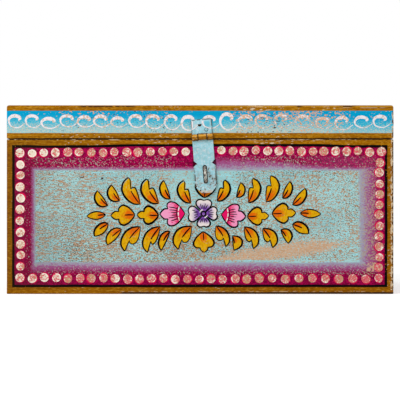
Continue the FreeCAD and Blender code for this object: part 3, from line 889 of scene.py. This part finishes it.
def white_paint():
    """White brush strokes, rubbed in places."""
    paint = Paint("white_paint")
    lump = paint.noise(2, seed=191, detail=3)
    rubbed = paint.span(*FAINT_SPAN, soft=8) * 0.09 + handled(paint) * 0.15
    colour = paint.coats(
        STROKE,
        (STROKE_WORN, lump.fade(0.5, 0.66)),
        (PEACH, paint.worn(1.6, 0.64, seed=192, cloud=40, uneven=0.3, bias=rubbed) * 0.85),
        (LID_MIDDLE, paint.worn(1.5, 0.7, seed=194, cloud=30, uneven=0.3, bias=rubbed * 0.6) * 0.85),
    )
    return paint.finish(colour, lump, depth=0.12)


# Brushwork: thin raised shapes that lie on the faces.

SINK = 0.06
SHOULDER_SHARE = 0.6
ROUNDING = 0.12


def put(name, data):
    """Add an object to the scene."""
    thing = bpy.data.objects.new(name, data)
    bpy.context.scene.collection.objects.link(thing)
    return thing


def curve_through(points, steps=5):
    """A smooth open line through points."""
    line = []
    last = len(points) - 1
    for i in range(last):
        near = (i - 1, i, i + 1, i + 2)
        before, start, end, after = (Vector(points[min(max(k, 0), last)]) for k in near)
        for step in range(steps):
            t = step / steps
            line.append(0.5 * (2 * start + (end - before) * t
                               + (2 * before - 5 * start + 4 * end - after) * t ** 2
                               + (3 * start - before - 3 * end + after) * t ** 3))
    line.append(Vector(points[last]))
    return line


def turned(vector):
    """A flat vector turned left by a right angle."""
    return Vector((-vector.y, vector.x))


def heading(angle):
    """The flat direction at an angle."""
    return Vector((math.cos(angle), math.sin(angle)))


def slip(hand, reach):
    """A small shift, as of a hand that doesn't meet its own line."""
    return Vector((hand.uniform(-reach, reach), hand.uniform(-reach, reach)))


def area(outline):
    """Twice the area of a flat outline, above zero where it runs anticlockwise."""
    return sum(a.x * b.y - b.x * a.y for a, b in zip(outline, outline[1:] + outline[:1]))


class Layer:
    """Strokes of one paint on one face, gathered into one piece."""

    def __init__(self, face, lift, slot="box_paint", body="box"):
        self.face = face
        self.lift = lift
        self.slot = slot
        self.body = body
        self.points, self.tones, self.faces = [], [], []

    def loft(self, rings):
        """A closed shape through rings of points, each point with its lift and its tone."""
        numbers = []
        for ring in rings:
            start = len(self.points)
            for point, lift, tone in ring:
                self.points.append(self.face.point(point, lift))
                self.tones.append(tone)
            numbers.append(list(range(start, len(self.points))))
        for low, high in zip(numbers, numbers[1:]):
            self.faces += zip(low, low[1:] + low[:1], high[1:] + high[:1], high)
        self.faces.append(tuple(reversed(numbers[0])))
        self.faces.append(tuple(numbers[-1]))

    def fill(self, outline, tone):
        """A flat shape with a rounded edge; tone gives the value at a point."""
        if area(outline) < 0:
            outline = outline[::-1]
        sides = zip(outline[-1:] + outline[:-1], outline[1:] + outline[:1])
        inner = [p + turned(after - before).normalized() * ROUNDING
                 for p, (before, after) in zip(outline, sides)]
        levels = ((outline, -SINK), (outline, self.lift * SHOULDER_SHARE), (inner, self.lift))
        tones = [tone(p) for p in outline]
        self.loft([[(p, level, t) for p, t in zip(edge, tones)] for edge, level in levels])

    def ribbon(self, line, widths):
        """A stroke along a line, highest in its middle; its tone runs from 0 to 1 along it."""
        shoulder = self.lift / 2
        section = ((1, -SINK), (-1, -SINK), (-1, shoulder), (0, self.lift), (1, shoulder))
        rings = []
        last = len(line) - 1
        for i, point in enumerate(line):
            ahead = (line[min(i + 1, last)] - line[max(i - 1, 0)]).normalized()
            aside = turned(ahead) * widths[i] / 2
            rings.append([(point + aside * share, lift, i / last) for share, lift in section])
        self.loft(rings)

    def dot(self, middle, radius, hand, points=22):
        """A round dab with a raised rim; its tone rises to 1 at the rim."""
        lift = self.lift
        profile = ((1, -SINK), (1, 0.5 * lift), (0.9, lift), (0.68, 0.75 * lift), (0.3, 0.62 * lift))
        phase, squash = hand.uniform(0, math.tau), hand.uniform(0, 0.05)
        spokes = []
        for k in range(points):
            angle = math.tau * k / points
            spokes.append(heading(angle) * radius * (1 + squash * math.cos(2 * angle + phase)))
        rings = [[(middle + spoke * share, level, share) for spoke in spokes] for share, level in profile]
        self.loft(rings)

    def build(self, name, material):
        """Make the piece."""
        mesh = bpy.data.meshes.new(name)
        mesh.from_pydata(self.points, [], self.faces)
        mesh.attributes.new("tone", "FLOAT", "POINT").data.foreach_set("value", self.tones)
        solid = bmesh.new()
        solid.from_mesh(mesh)
        bmesh.ops.recalc_face_normals(solid, faces=solid.faces)
        solid.to_mesh(mesh)
        solid.free()
        mesh.materials.append(material)
        piece = put(name, mesh)
        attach(piece, self.body)


# Shapes of the spray, as shares of a leaf's length: along it from its base, then to its outer side.
# A shape is a row of runs that meet at its corners; each run goes with the width of its ink line.
Run = namedtuple("Run", "shares ink")
BOLD, FIRM, MEDIUM, FINE = 1.75, 1.35, 1.1, 0.85


def low_lobed(outer, inner):
    """A leaf of the lower rows: a long outer side and a short lobe inside."""
    return (
        Run(((0, 0), (0.08, 0.36 * outer), (0.2, 0.72 * outer), (0.42, outer), (0.7, 0.96 * outer),
             (0.9, 0.63 * outer), (1, 0)), BOLD),
        Run(((1, 0), (0.92, 0.01), (0.78, 0.04), (0.6, 0.07)), MEDIUM),
        Run(((0.6, 0.07), (0.65, 0.02), (0.66, -0.4 * inner), (0.6, -0.9 * inner), (0.5, -1.1 * inner),
             (0.36, -inner), (0.18, -0.6 * inner), (0, 0)), MEDIUM),
    )


def moon(outer, inner):
    """A plain leaf, curved more on its outer side."""
    return (
        Run(((0, 0), (0.1, 0.6 * outer), (0.3, 0.95 * outer), (0.5, outer), (0.72, 0.88 * outer),
             (0.9, 0.5 * outer), (1, 0)), BOLD),
        Run(((1, 0), (0.78, -0.65 * inner), (0.5, -inner), (0.2, -0.7 * inner), (0, 0)), MEDIUM),
    )


def mirrored(*halves):
    """Runs of a shape that is the same on both sides, from those of its outer side."""
    other = [Run(tuple((s, -w) for s, w in run.shares[::-1]), run.ink) for run in halves[::-1]]
    return tuple(halves) + tuple(other)


def petal(wide):
    """A petal with a notch at its tip."""
    half = ((0.17, 0.13), (0.3, 0.26), (0.5, 0.47), (0.72, 0.57), (0.92, 0.48), (1, 0.27), (0.96, 0.08),
            (0.93, 0))
    return mirrored(Run(tuple((s, w * wide) for s, w in half), FIRM))


HIGH_LOBED = (
    Run(((0, 0), (0.08, 0.18), (0.26, 0.31), (0.44, 0.37), (0.6, 0.38), (0.74, 0.35), (0.92, 0.21), (1, 0)),
        BOLD),
    Run(((1, 0), (0.9, -0.03), (0.73, 0.03), (0.6, 0.08)), MEDIUM),
    Run(((0.6, 0.08), (0.62, 0.02), (0.58, -0.07), (0.46, -0.08), (0.22, -0.05), (0, 0)), MEDIUM),
)
TREFOIL = mirrored(
    Run(((0, 0), (0.06, 0.12), (0.22, 0.3), (0.35, 0.38), (0.47, 0.42), (0.59, 0.37), (0.67, 0.26),
         (0.66, 0.15)), BOLD),
    Run(((0.66, 0.15), (0.8, 0.17), (0.92, 0.1), (1, 0)), MEDIUM),
)
TULIP = mirrored(
    Run(((0, 0), (0.13, 0.2), (0.35, 0.42), (0.56, 0.48), (0.69, 0.42), (0.71, 0.31), (0.68, 0.2)), FIRM),
    Run(((0.68, 0.2), (0.82, 0.2), (0.94, 0.1), (1, 0)), FIRM),
)
HEART = mirrored(
    Run(((0, 0), (0.1, 0.15), (0.27, 0.34), (0.47, 0.47), (0.63, 0.48), (0.75, 0.37), (0.77, 0.18)), BOLD),
    Run(((0.77, 0.18), (0.9, 0.15), (1, 0)), MEDIUM),
)
WIDE_HEART = mirrored(
    Run(((0, 0), (0.06, 0.12), (0.18, 0.27), (0.34, 0.39), (0.48, 0.42), (0.6, 0.37), (0.67, 0.28),
         (0.67, 0.16)), BOLD),
    Run(((0.67, 0.16), (0.82, 0.15), (1, 0)), MEDIUM),
)
SPEAR = mirrored(Run(((0, 0), (0.2, 0.14), (0.5, 0.2), (0.8, 0.13), (1, 0)), MEDIUM))
EVEN_LEAVES = (TREFOIL, HEART, WIDE_HEART, SPEAR)
SHADE = mirrored(Run(((0.03, 0), (0.12, 0.12), (0.28, 0.17), (0.46, 0.12), (0.64, 0)), FINE))
OUTER_SHADE = (
    Run(((0.03, 0), (0.12, 0.15), (0.3, 0.26), (0.5, 0.28), (0.68, 0.22), (0.54, 0.1), (0.3, 0),
         (0.1, -0.03), (0.03, 0)), FINE),
)
CURVED_VEIN = ((0.05, 0.02), (0.28, 0.07), (0.54, 0.1))
MIDDLE_VEIN = ((0.04, 0), (0.25, 0.01), (0.42, 0))
SHADE_LENGTH = 0.7
SHADE_FIRST, SHADE_RISE = -0.4, 1.1
SPILL = 0.036
LEAF_SLIP, TULIP_SLIP, PETAL_SLIP = 0.3, 0.25, 0.15
LEAF_FIRST = 0.2

# The spray on the front: shape, base and tip, in pixels of the photograph.
SPRAY = (
    (moon(0.42, 0.04), (107.8, 205.6), (97.2, 190.6)),
    (moon(0.45, 0.07), (119.4, 200.9), (111.4, 185)),
    (HIGH_LOBED, (140, 204), (128, 177.5)),
    (HIGH_LOBED, (158.4, 203.3), (146.3, 178.8)),
    (moon(0.36, 0.03), (170.4, 199), (163.8, 180.4)),
    (HIGH_LOBED, (190.5, 203), (183.4, 180.6)),
    (WIDE_HEART, (204.3, 197.6), (206.4, 174.8)),
    (HIGH_LOBED, (217, 201), (225, 180)),
    (moon(0.42, 0.04), (236.4, 197.4), (240.7, 182.6)),
    (HIGH_LOBED, (248.4, 202.5), (253.4, 178.4)),
    (HIGH_LOBED, (266, 201.7), (271.4, 175.6)),
    (moon(0.32, 0.08), (282.5, 198.2), (289.8, 181.4)),
    (moon(0.31, 0.08), (292.4, 204.7), (305.3, 188.3)),
    (SPEAR, (105.7, 214.8), (86.6, 216.2)),
    (TREFOIL, (134.7, 214.9), (110.9, 215.5)),
    (TREFOIL, (158.4, 215.4), (136.9, 214.8)),
    (TULIP, (185, 213.6), (160, 214)),
    (TULIP, (221.4, 214.6), (245.6, 216.6)),
    (TREFOIL, (247.5, 216.3), (268.8, 215.9)),
    (TREFOIL, (272.2, 213.6), (295.8, 212.8)),
    (SPEAR, (300, 213), (320.9, 214.1)),
    (moon(0.3, 0.19), (108.2, 223.9), (94.5, 236.3)),
    (moon(0.34, 0.1), (121.5, 229.3), (107.4, 245)),
    (low_lobed(0.34, 0.15), (140.4, 226.9), (124.8, 251.3)),
    (low_lobed(0.34, 0.08), (160.3, 226.7), (147.5, 252.5)),
    (moon(0.31, 0.03), (170, 231.3), (161.3, 250.4)),
    (low_lobed(0.4, 0.15), (191.6, 226.5), (178.2, 249.4)),
    (HEART, (203, 231.5), (204.4, 252.3)),
    (low_lobed(0.33, 0.19), (215.8, 226), (225.8, 246.7)),
    (moon(0.62, 0.01), (232.5, 235.7), (233.8, 250.3)),
    (low_lobed(0.38, 0.11), (244.2, 226.9), (253.4, 248.8)),
    (low_lobed(0.42, 0.14), (262.7, 228.6), (272.6, 247.8)),
    (moon(0.5, 0.06), (280.8, 229.7), (288.1, 243.4)),
    (moon(0.34, 0.19), (292.4, 224.5), (308.4, 233.8)),
)
FLOWER = (203.5, 213.8)
# The flower's petals: which way each points, in degrees, how far it reaches, in pixels, and its shape.
PETALS = (
    (2, 13.7, petal(0.86)),
    (88, 14.3, petal(0.96)),
    (181, 15.2, petal(0.9)),
    (271, 13.2, petal(0.88)),
)
PETAL_VEIN_START, PETAL_VEIN_END = 0.34, 0.68
PETAL_VEINS = (-0.2, -0.08, 0.06, 0.2)
EYE_REACH, RING_REACH, LASH_REACH = 3.4, 2.3, 4.1
EYE_TONE = 0.42
LASHES = ((95, 160), (285, 340))
LASH_WIDTH = 1.2
# A tulip's veins and the two arcs across its base: one of ink, one of white dashes.
VEIN_START, VEIN_END = 0.3, 0.6
TULIP_VEINS = (-0.27, -0.16, -0.05, 0.06, 0.16, 0.27)
INK_ARC, DASH_ARC, ARC_BEND = 0.33, 0.27, 0.6
INK_ARC_POINTS = (-0.28, -0.14, 0, 0.14, 0.28)
DASHES = ((-0.29, -0.11), (-0.07, 0.09), (0.13, 0.28))
DASH_WIDTH = 1.1


def placed(shares, base, tip, side=1):
    """Points of a shape between a base and a tip; side 1 has its outer side on the left."""
    ahead = tip - base
    return [base + ahead * s + turned(ahead) * side * w for s, w in shares]


def outline_of(shape, base, tip, side):
    """The closed outline of a shape."""
    outline = []
    for run in shape:
        outline += curve_through(placed(run.shares, base, tip, side))[:-1]
    return outline


def tapered(count, full, thin=0.5):
    """Widths of a brush line that swells in its middle."""
    swell = [math.sin(math.pi * k / (count - 1)) ** 0.7 for k in range(count)]
    return [full * (thin + (1 - thin) * share) for share in swell]


def share_along(base, tip):
    """A function that gives how far a point lies from a base, 0, to a tip, 1."""
    ahead = tip - base
    return lambda point: (point - base).dot(ahead) / ahead.length_squared


def arc(level, widths):
    """Shares of an arc across a tulip."""
    return [(level - ARC_BEND * w ** 2, w) for w in widths]


# The layers of a spray, each with how far it stands off the face.
SPRAY_LIFTS = {
    "leaves": 0.1, "leaf_shades": 0.13, "tulips": 0.1, "petals": 0.1, "whites": 0.28, "ink": 0.24,
}


class Spray:
    """The layers that a spray is drawn with, on one face."""

    def __init__(self, face, seed, **ride):
        self.hand = random.Random(seed)
        self.layers = {part: Layer(face, lift, **ride) for part, lift in SPRAY_LIFTS.items()}

    def line(self, points, width):
        """An ink line through points."""
        path = curve_through(points)
        self.layers["ink"].ribbon(path, tapered(len(path), width * self.hand.uniform(0.85, 1.15)))

    def white(self, points, width):
        """A small white stroke through points."""
        path = curve_through(points)
        self.layers["whites"].ribbon(path, tapered(len(path), width))

    def shape(self, part, shape, base, tip, side, off, first=0):
        """A shape filled a little off the ink along its runs; first is the fill's tone at its base."""
        share = share_along(base + off, tip + off)
        outline = outline_of(shape, base + off, tip + off, side)
        self.layers[part].fill(outline, lambda point: first + (1 - first) * share(point))
        for run in shape:
            self.line(placed(run.shares, base, tip, side), run.ink)

    def leaf(self, shape, base, tip):
        """A leaf with an orange shade along its vein; the upper left ones' yellow spills out inwards."""
        ahead = tip - base
        side = 1 if ahead.x * ahead.y < 0 else -1
        even = shape in EVEN_LEAVES
        off = slip(self.hand, LEAF_SLIP)
        if ahead.y > 0 > ahead.x and not even:
            off = off - ahead * SPILL - turned(ahead) * side * SPILL
        self.shape("leaves", shape, base, tip, side, off, LEAF_FIRST)
        share = share_along(base, base + ahead * SHADE_LENGTH)
        shade = outline_of(SHADE if even else OUTER_SHADE, base, tip, side)
        self.layers["leaf_shades"].fill(shade, lambda point: SHADE_FIRST + SHADE_RISE * share(point))
        self.line(placed(MIDDLE_VEIN if even else CURVED_VEIN, base, tip, side), FIRM)

    def tulip(self, base, tip):
        """A tulip: veins that fan out from a broken white arc across its deep base."""
        self.shape("tulips", TULIP, base, tip, 1, slip(self.hand, TULIP_SLIP))
        for w in TULIP_VEINS:
            start = VEIN_START + self.hand.uniform(-0.03, 0.03)
            end = VEIN_END + self.hand.uniform(-0.08, 0.05)
            vein = ((start, w * 0.7), ((start + end) / 2, w * 0.9), (end, w))
            self.line(placed(vein, base, tip), FINE)
        self.line(placed(arc(INK_ARC, INK_ARC_POINTS), base, tip), FINE)
        for low, high in DASHES:
            self.white(placed(arc(DASH_ARC, (low, (low + high) / 2, high)), base, tip), DASH_WIDTH)

    def flower(self, middle, pixel):
        """A flower of four petals round a small ringed eye; pixel is the size of one on the face."""
        for turn, reach, shape in PETALS:
            tip = middle + heading(math.radians(turn)) * reach * pixel
            self.shape("petals", shape, middle, tip, 1, slip(self.hand, PETAL_SLIP))
            for w in PETAL_VEINS:
                end = PETAL_VEIN_END + self.hand.uniform(-0.08, 0.08)
                self.line(placed(((PETAL_VEIN_START, w * 0.6), (end, w * 1.3)), middle, tip), 0.9 * FINE)
        around = [heading(math.radians(turn)) for turn in range(0, 361, 30)]
        eye = [middle + t * EYE_REACH * pixel for t in around[:-1]]
        self.layers["petals"].fill(eye, lambda point: EYE_TONE)
        self.layers["ink"].ribbon([middle + t * RING_REACH * pixel for t in around], [FIRM] * len(around))
        for start, end in LASHES:
            turns = (math.radians(turn) for turn in (start, (start + end) / 2, end))
            self.white([middle + heading(turn) * LASH_REACH * pixel for turn in turns], LASH_WIDTH)

    def build(self, name):
        """Make the pieces."""
        for part, layer in self.layers.items():
            layer.build(f"{name}_{part}", SPRAY_PAINT[part])


def draw_spray(name, face, place, reach, seed, **ride):
    """The spray on a face.

    place turns pixels into the face's coordinates, and what lies farther out than reach is left out.
    """
    spray = Spray(face, seed, **ride)
    for shape, base, tip in SPRAY:
        if abs(base[0] - FLOWER[0]) > reach:
            continue
        if shape is TULIP:
            spray.tulip(place(*base), place(*tip))
        else:
            spray.leaf(shape, place(*base), place(*tip))
    middle = place(*FLOWER)
    spray.flower(middle, (place(FLOWER[0] + 1, FLOWER[1]) - middle).length)
    spray.build(name)


def centred(middle, scale):
    """The spray moved to a middle and scaled."""
    return lambda px, py: Vector(middle) + (at(px, py) - at(*FLOWER)) * scale


# Rows of dabs on the front, in pixels: start, end and how many.
FRONT_DABS = (
    ((20, 153), (185.6, 151.5), 15),
    ((221.7, 150.6), (381.2, 151.8), 15),
    ((20.2, 164.3), (20.4, 266.8), 10),
    ((379.6, 162.2), (379.2, 268), 11),
    ((20.4, 277.9), (187.2, 279), 15),
    ((199.2, 279), (259.3, 278.6), 6),
    ((272.6, 278.8), (378.6, 278.5), 9),
)
DAB_LIFT, GROUND_LIFT = 0.28, 0.08
DAB_RADIUS = 3.75
DAB_STEP = 10.4
DAB_INSET = 4.6
DAB_SLIP = 0.5
GROUND_SLIP = 0.75
GROUND_EXTRA = 0.4


def draw_dabs(name, face, rows, seed, **ride):
    """Rows of round dabs along a border, each on a red one that shows beside it."""
    hand = random.Random(seed)
    grounds = Layer(face, GROUND_LIFT, **ride)
    dabs = Layer(face, DAB_LIFT, **ride)
    for start, end, count in rows:
        for k in range(count):
            middle = start.lerp(end, k / (count - 1)) + slip(hand, DAB_SLIP)
            radius = DAB_RADIUS * hand.uniform(0.93, 1.05)
            dabs.dot(middle, radius, hand)
            grounds.dot(middle + slip(hand, GROUND_SLIP), radius + GROUND_EXTRA, hand)
    dabs.build(name, DAB_PAINT)
    grounds.build(name + "_ground", GROUND_PAINT)


def ring_of_dabs(field):
    """Rows of dabs round a field, each row without the corner that the next one starts with."""
    ring = shrunk(field, DAB_INSET)
    corners = [Vector((ring.left, ring.bottom)), Vector((ring.right, ring.bottom)),
               Vector((ring.right, ring.top)), Vector((ring.left, ring.top))]
    rows = []
    for start, end in zip(corners, corners[1:] + corners[:1]):
        count = round((end - start).length / DAB_STEP)
        rows.append((start, end.lerp(start, 1 / count), count))
    return rows


# The curls along the lid, in pixels: left edge, top and bottom. Then one curl's line, as shares of its
# width and height, and its brush widths.
CURLS = (
    (8.7, 114.3, 128.3), (25.7, 114.3, 128), (41.7, 117, 129), (60.3, 114.3, 127.3),
    (77.7, 115.3, 127.6), (94, 114.7, 127.6), (111.3, 116.3, 127.6), (129, 114.3, 128),
    (146.3, 114.3, 129.3), (164.7, 114.3, 130.3), (181.7, 115.3, 131), (202.7, 115.2, 128.8),
    (220.5, 112.5, 130.6), (238.8, 114.6, 129), (255.7, 114, 128.8), (274.7, 113.4, 127.8),
    (295.8, 114.3, 128), (316.1, 116.8, 129), (335.3, 115.9, 130.4), (354.7, 115.5, 128.4),
    (373.3, 114.9, 128),
)
CURL_WIDTH = 15.2
CURL_LINE = ((0.6, 0.64), (0.7, 0.74), (0.63, 0.9), (0.42, 1), (0.18, 0.94), (0.02, 0.7), (0.02, 0.42),
             (0.16, 0.14), (0.44, 0), (0.72, 0.08), (1, 0.4))
CURL_INK = (1.1, 2.2, 3, 3.2, 2.8, 2.2, 1.6, 1.2, 1, 0.9, 0.6)
HALF_TOP_INK, HALF_FOOT_INK = 1.4, 0.5
LEAST_INK = 0.4
CURL_LIFT = 0.2
CURL_SLIP = 0.3
SIDE_CURLS = 14
SIDE_CURL_TOP, SIDE_CURL_BOTTOM = 157.8, 145.2


def curl(left, top, bottom, hand):
    """The line and the widths of one curl between its edges."""
    wide = CURL_WIDTH * hand.uniform(0.94, 1.06)
    low, high = bottom + HALF_FOOT_INK, top - HALF_TOP_INK
    points = []
    for x, z in CURL_LINE:
        across = left + x * wide + hand.uniform(-CURL_SLIP, CURL_SLIP)
        points.append(Vector((across, low + z * (high - low))))
    knots = curve_through([(k, ink) for k, ink in enumerate(CURL_INK)])
    weight = hand.uniform(0.85, 1.08)
    widths = [max(knot.y * weight, LEAST_INK) * hand.uniform(0.94, 1.06) for knot in knots]
    return curve_through(points), widths


def draw_curls(name, face, edges, seed, leaf=None):
    """A row of curls on a lid rail; where they cross the hasp's leaf they go on over it."""
    hand = random.Random(seed)
    layer = Layer(face, CURL_LIFT, **ON_LID)
    for left, top, bottom in edges:
        line, widths = curl(left, top, bottom, hand)
        layer.ribbon(line, widths)
        if leaf:
            over_leaf(leaf, line, widths)
    layer.build(name, WHITE_PAINT)


LEAF_HALF = 9.1
LEAF_LOW, LEAF_HIGH = 3.4, 15.2


def over_leaf(layer, line, widths):
    """Draw the part of a stroke that crosses the hasp's leaf."""
    right, up = Vector(HASP_RIGHT).xz, Vector(HASP_UP).xz
    kept = []
    for point, width in zip(line, widths):
        arm = point - Vector(HASP_MIDDLE)
        spot = Vector((arm.dot(right), arm.dot(up)))
        within = abs(spot.x) < LEAF_HALF - width / 2
        if within and LEAF_LOW + width / 2 < spot.y < LEAF_HIGH - width / 2:
            kept.append((spot, width))
    if len(kept) > 2:
        layer.ribbon([spot for spot, _ in kept], [width for _, width in kept])


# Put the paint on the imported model's nodes.

dark_iron = worn_iron("dark_iron", NICK, level=0.6, gloss=0.3)
hinge_iron = worn_iron("hinge_paint", OCHRE, level=0.46, gloss=0.2)
blue_iron = hasp_paint()
node_paint = {
    "lid_top_panel": top_panel(),
    "base_panel": base_panel(),
    "corner_brads": brads("painted_brads", box_scheme, seed=101),
    "lid_corner_brads": brads("painted_lid_brads", lid_scheme, seed=102),
    "top_brads": brads("painted_top_brads", ochre, seed=103, face=TOP),
    "hasp_leaf": blue_iron,
    "hasp_strap": blue_iron,
    "hasp_nails": nail_paint(),
    "staple": staple_paint(),
}
SIDES = {
    "front": (FRONT, front_scheme),
    "back": (BACK, back_scheme),
    "left": (LEFT, side_scheme),
    "right": (RIGHT, side_scheme),
}
for side, (face, scheme) in SIDES.items():
    node_paint[f"{side}_board"] = board(f"{side}_board_paint", face, scheme)
    node_paint[f"lid_{side}_rail"] = board(f"lid_{side}_paint", face, lid_scheme)
for side in ("left", "right"):
    node_paint[f"{side}_hinge_box_leaf"] = hinge_iron
    node_paint[f"{side}_hinge_lid_leaf"] = hinge_iron
    node_paint[f"{side}_hinge_pin"] = dark_iron
for node in ("base_brads", "hasp_pin", "box_hinge_nails", "lid_hinge_nails"):
    node_paint[node] = dark_iron
for node, material in node_paint.items():
    for material_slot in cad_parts[node].material_slots:
        material_slot.material = material

# Brush the ornament on.

DAB_PAINT = dab_paint()
GROUND_PAINT = speckled(
    "dab_ground_paint", DAB_GROUND, MAGENTA, size=2.2, seed=145, levels=(0.5, 0.7), depth=0.1,
)
WHITE_PAINT = white_paint()
LEAF_PAINT = leaf_paint()
SPRAY_PAINT = {
    "leaves": LEAF_PAINT,
    "leaf_shades": LEAF_PAINT,
    "tulips": tulip_paint(),
    "petals": petal_paint(),
    "whites": WHITE_PAINT,
    "ink": speckled("ink_paint", BLACK, SPECK, size=1.2, seed=181, levels=(0.68, 0.76), depth=0.05),
}
ON_LID = {"slot": "lid_paint", "body": "lid"}
# How far from its flower a spray is drawn, in pixels: all of it, and what a side has room for.
WHOLE = 200
SIDE_REACH = 62

front_dabs = [(at(*start), at(*end), count) for start, end, count in FRONT_DABS]
draw_dabs("front_dabs", FRONT, front_dabs, seed=11)
draw_dabs("left_dabs", LEFT, ring_of_dabs(SIDE_FIELDS.border), seed=12)
draw_dabs("right_dabs", RIGHT, ring_of_dabs(SIDE_FIELDS.border), seed=13)
draw_dabs("top_dabs", TOP, ring_of_dabs(TOP_FIELDS.border), seed=14, **ON_LID)

side_middle = (0, (SIDE_FIELDS.line.bottom + SIDE_FIELDS.line.top) / 2)
draw_spray("front", FRONT, at, WHOLE, seed=21)
draw_spray("left", LEFT, centred(side_middle, scale=1), SIDE_REACH, seed=22)
draw_spray("right", RIGHT, centred(side_middle, scale=1), SIDE_REACH, seed=23)
draw_spray("top", TOP, centred((0, 0), scale=1.2), WHOLE, seed=24, **ON_LID)

front_curls = [(column(left), row(top), row(bottom)) for left, top, bottom in CURLS]
side_pitch = 2 * HALF_DEPTH / SIDE_CURLS
side_curls = [(k * side_pitch - HALF_DEPTH, SIDE_CURL_TOP, SIDE_CURL_BOTTOM) for k in range(SIDE_CURLS)]
leaf_strokes = Layer(HASP, CURL_LIFT, slot="hasp_paint", body="lid")
draw_curls("front_curls", FRONT, front_curls, seed=31, leaf=leaf_strokes)
leaf_strokes.build("hasp_leaf_strokes", WHITE_PAINT)
draw_curls("left_curls", LEFT, side_curls, seed=32)
draw_curls("right_curls", RIGHT, side_curls, seed=33)

# Floor, light and camera.


def make_floor():
    """A plain white floor that keeps a soft shadow."""
    reach, glow = 30, 0.45
    mesh = bpy.data.meshes.new("floor")
    corners = [(-reach, -reach, 0), (reach, -reach, 0), (reach, reach, 0), (-reach, reach, 0)]
    mesh.from_pydata(corners, [], [(0, 1, 2, 3)])
    paint = Paint("floor_paint")
    mesh.materials.append(paint.shade({
        "Base Color": FLOOR_GREY,
        "Roughness": 0.9,
        "Specular IOR Level": 0,
        "Emission Color": WHITE,
        "Emission Strength": paint.seen() * glow,
    }))
    put("floor", mesh)


def make_world():
    """Even light from all round, and plain white where the camera or a reflection sees it."""
    light, white = 0.68, 1
    world = bpy.data.worlds.new("studio")
    bpy.context.scene.world = world
    world.use_nodes = True
    nodes = Nodes(world.node_tree)
    background = world.node_tree.nodes["Background"].inputs
    background["Color"].default_value = WHITE
    nodes.feed(background["Strength"], nodes.seen() * (white - light) + light)


def make_lamp(name, place, aim, size, power):
    """A round lamp that shines at a point."""
    lamp = bpy.data.lights.new(name, "AREA")
    lamp.shape = "DISK"
    lamp.size = size
    lamp.energy = power
    holder = put(name, lamp)
    holder.location = place
    holder.rotation_euler = (Vector(aim) - Vector(place)).to_track_quat("-Z", "Y").to_euler()


def make_camera():
    """Level and straight on, so that the front face fills the photograph's frame as it does there."""
    distance, sensor, frame_pixels = 1.5, 36, 400
    camera = bpy.data.cameras.new("camera")
    camera.sensor_width = sensor
    camera.lens = sensor * distance / (frame_pixels * PIXEL * MM)
    camera.clip_end = 100
    holder = put("camera", camera)
    x, z = column(frame_pixels / 2), row(frame_pixels / 2)
    holder.location = (x * MM, -HALF_DEPTH * MM - distance, z * MM)
    holder.rotation_euler = (math.pi / 2, 0, 0)
    bpy.context.scene.camera = holder


make_floor()
make_world()
make_lamp("key", (-0.9, -1.5, 1.2), (0, 0, 0.08), size=1, power=17)
make_camera()
bpy.context.scene.view_settings.view_transform = "Standard"
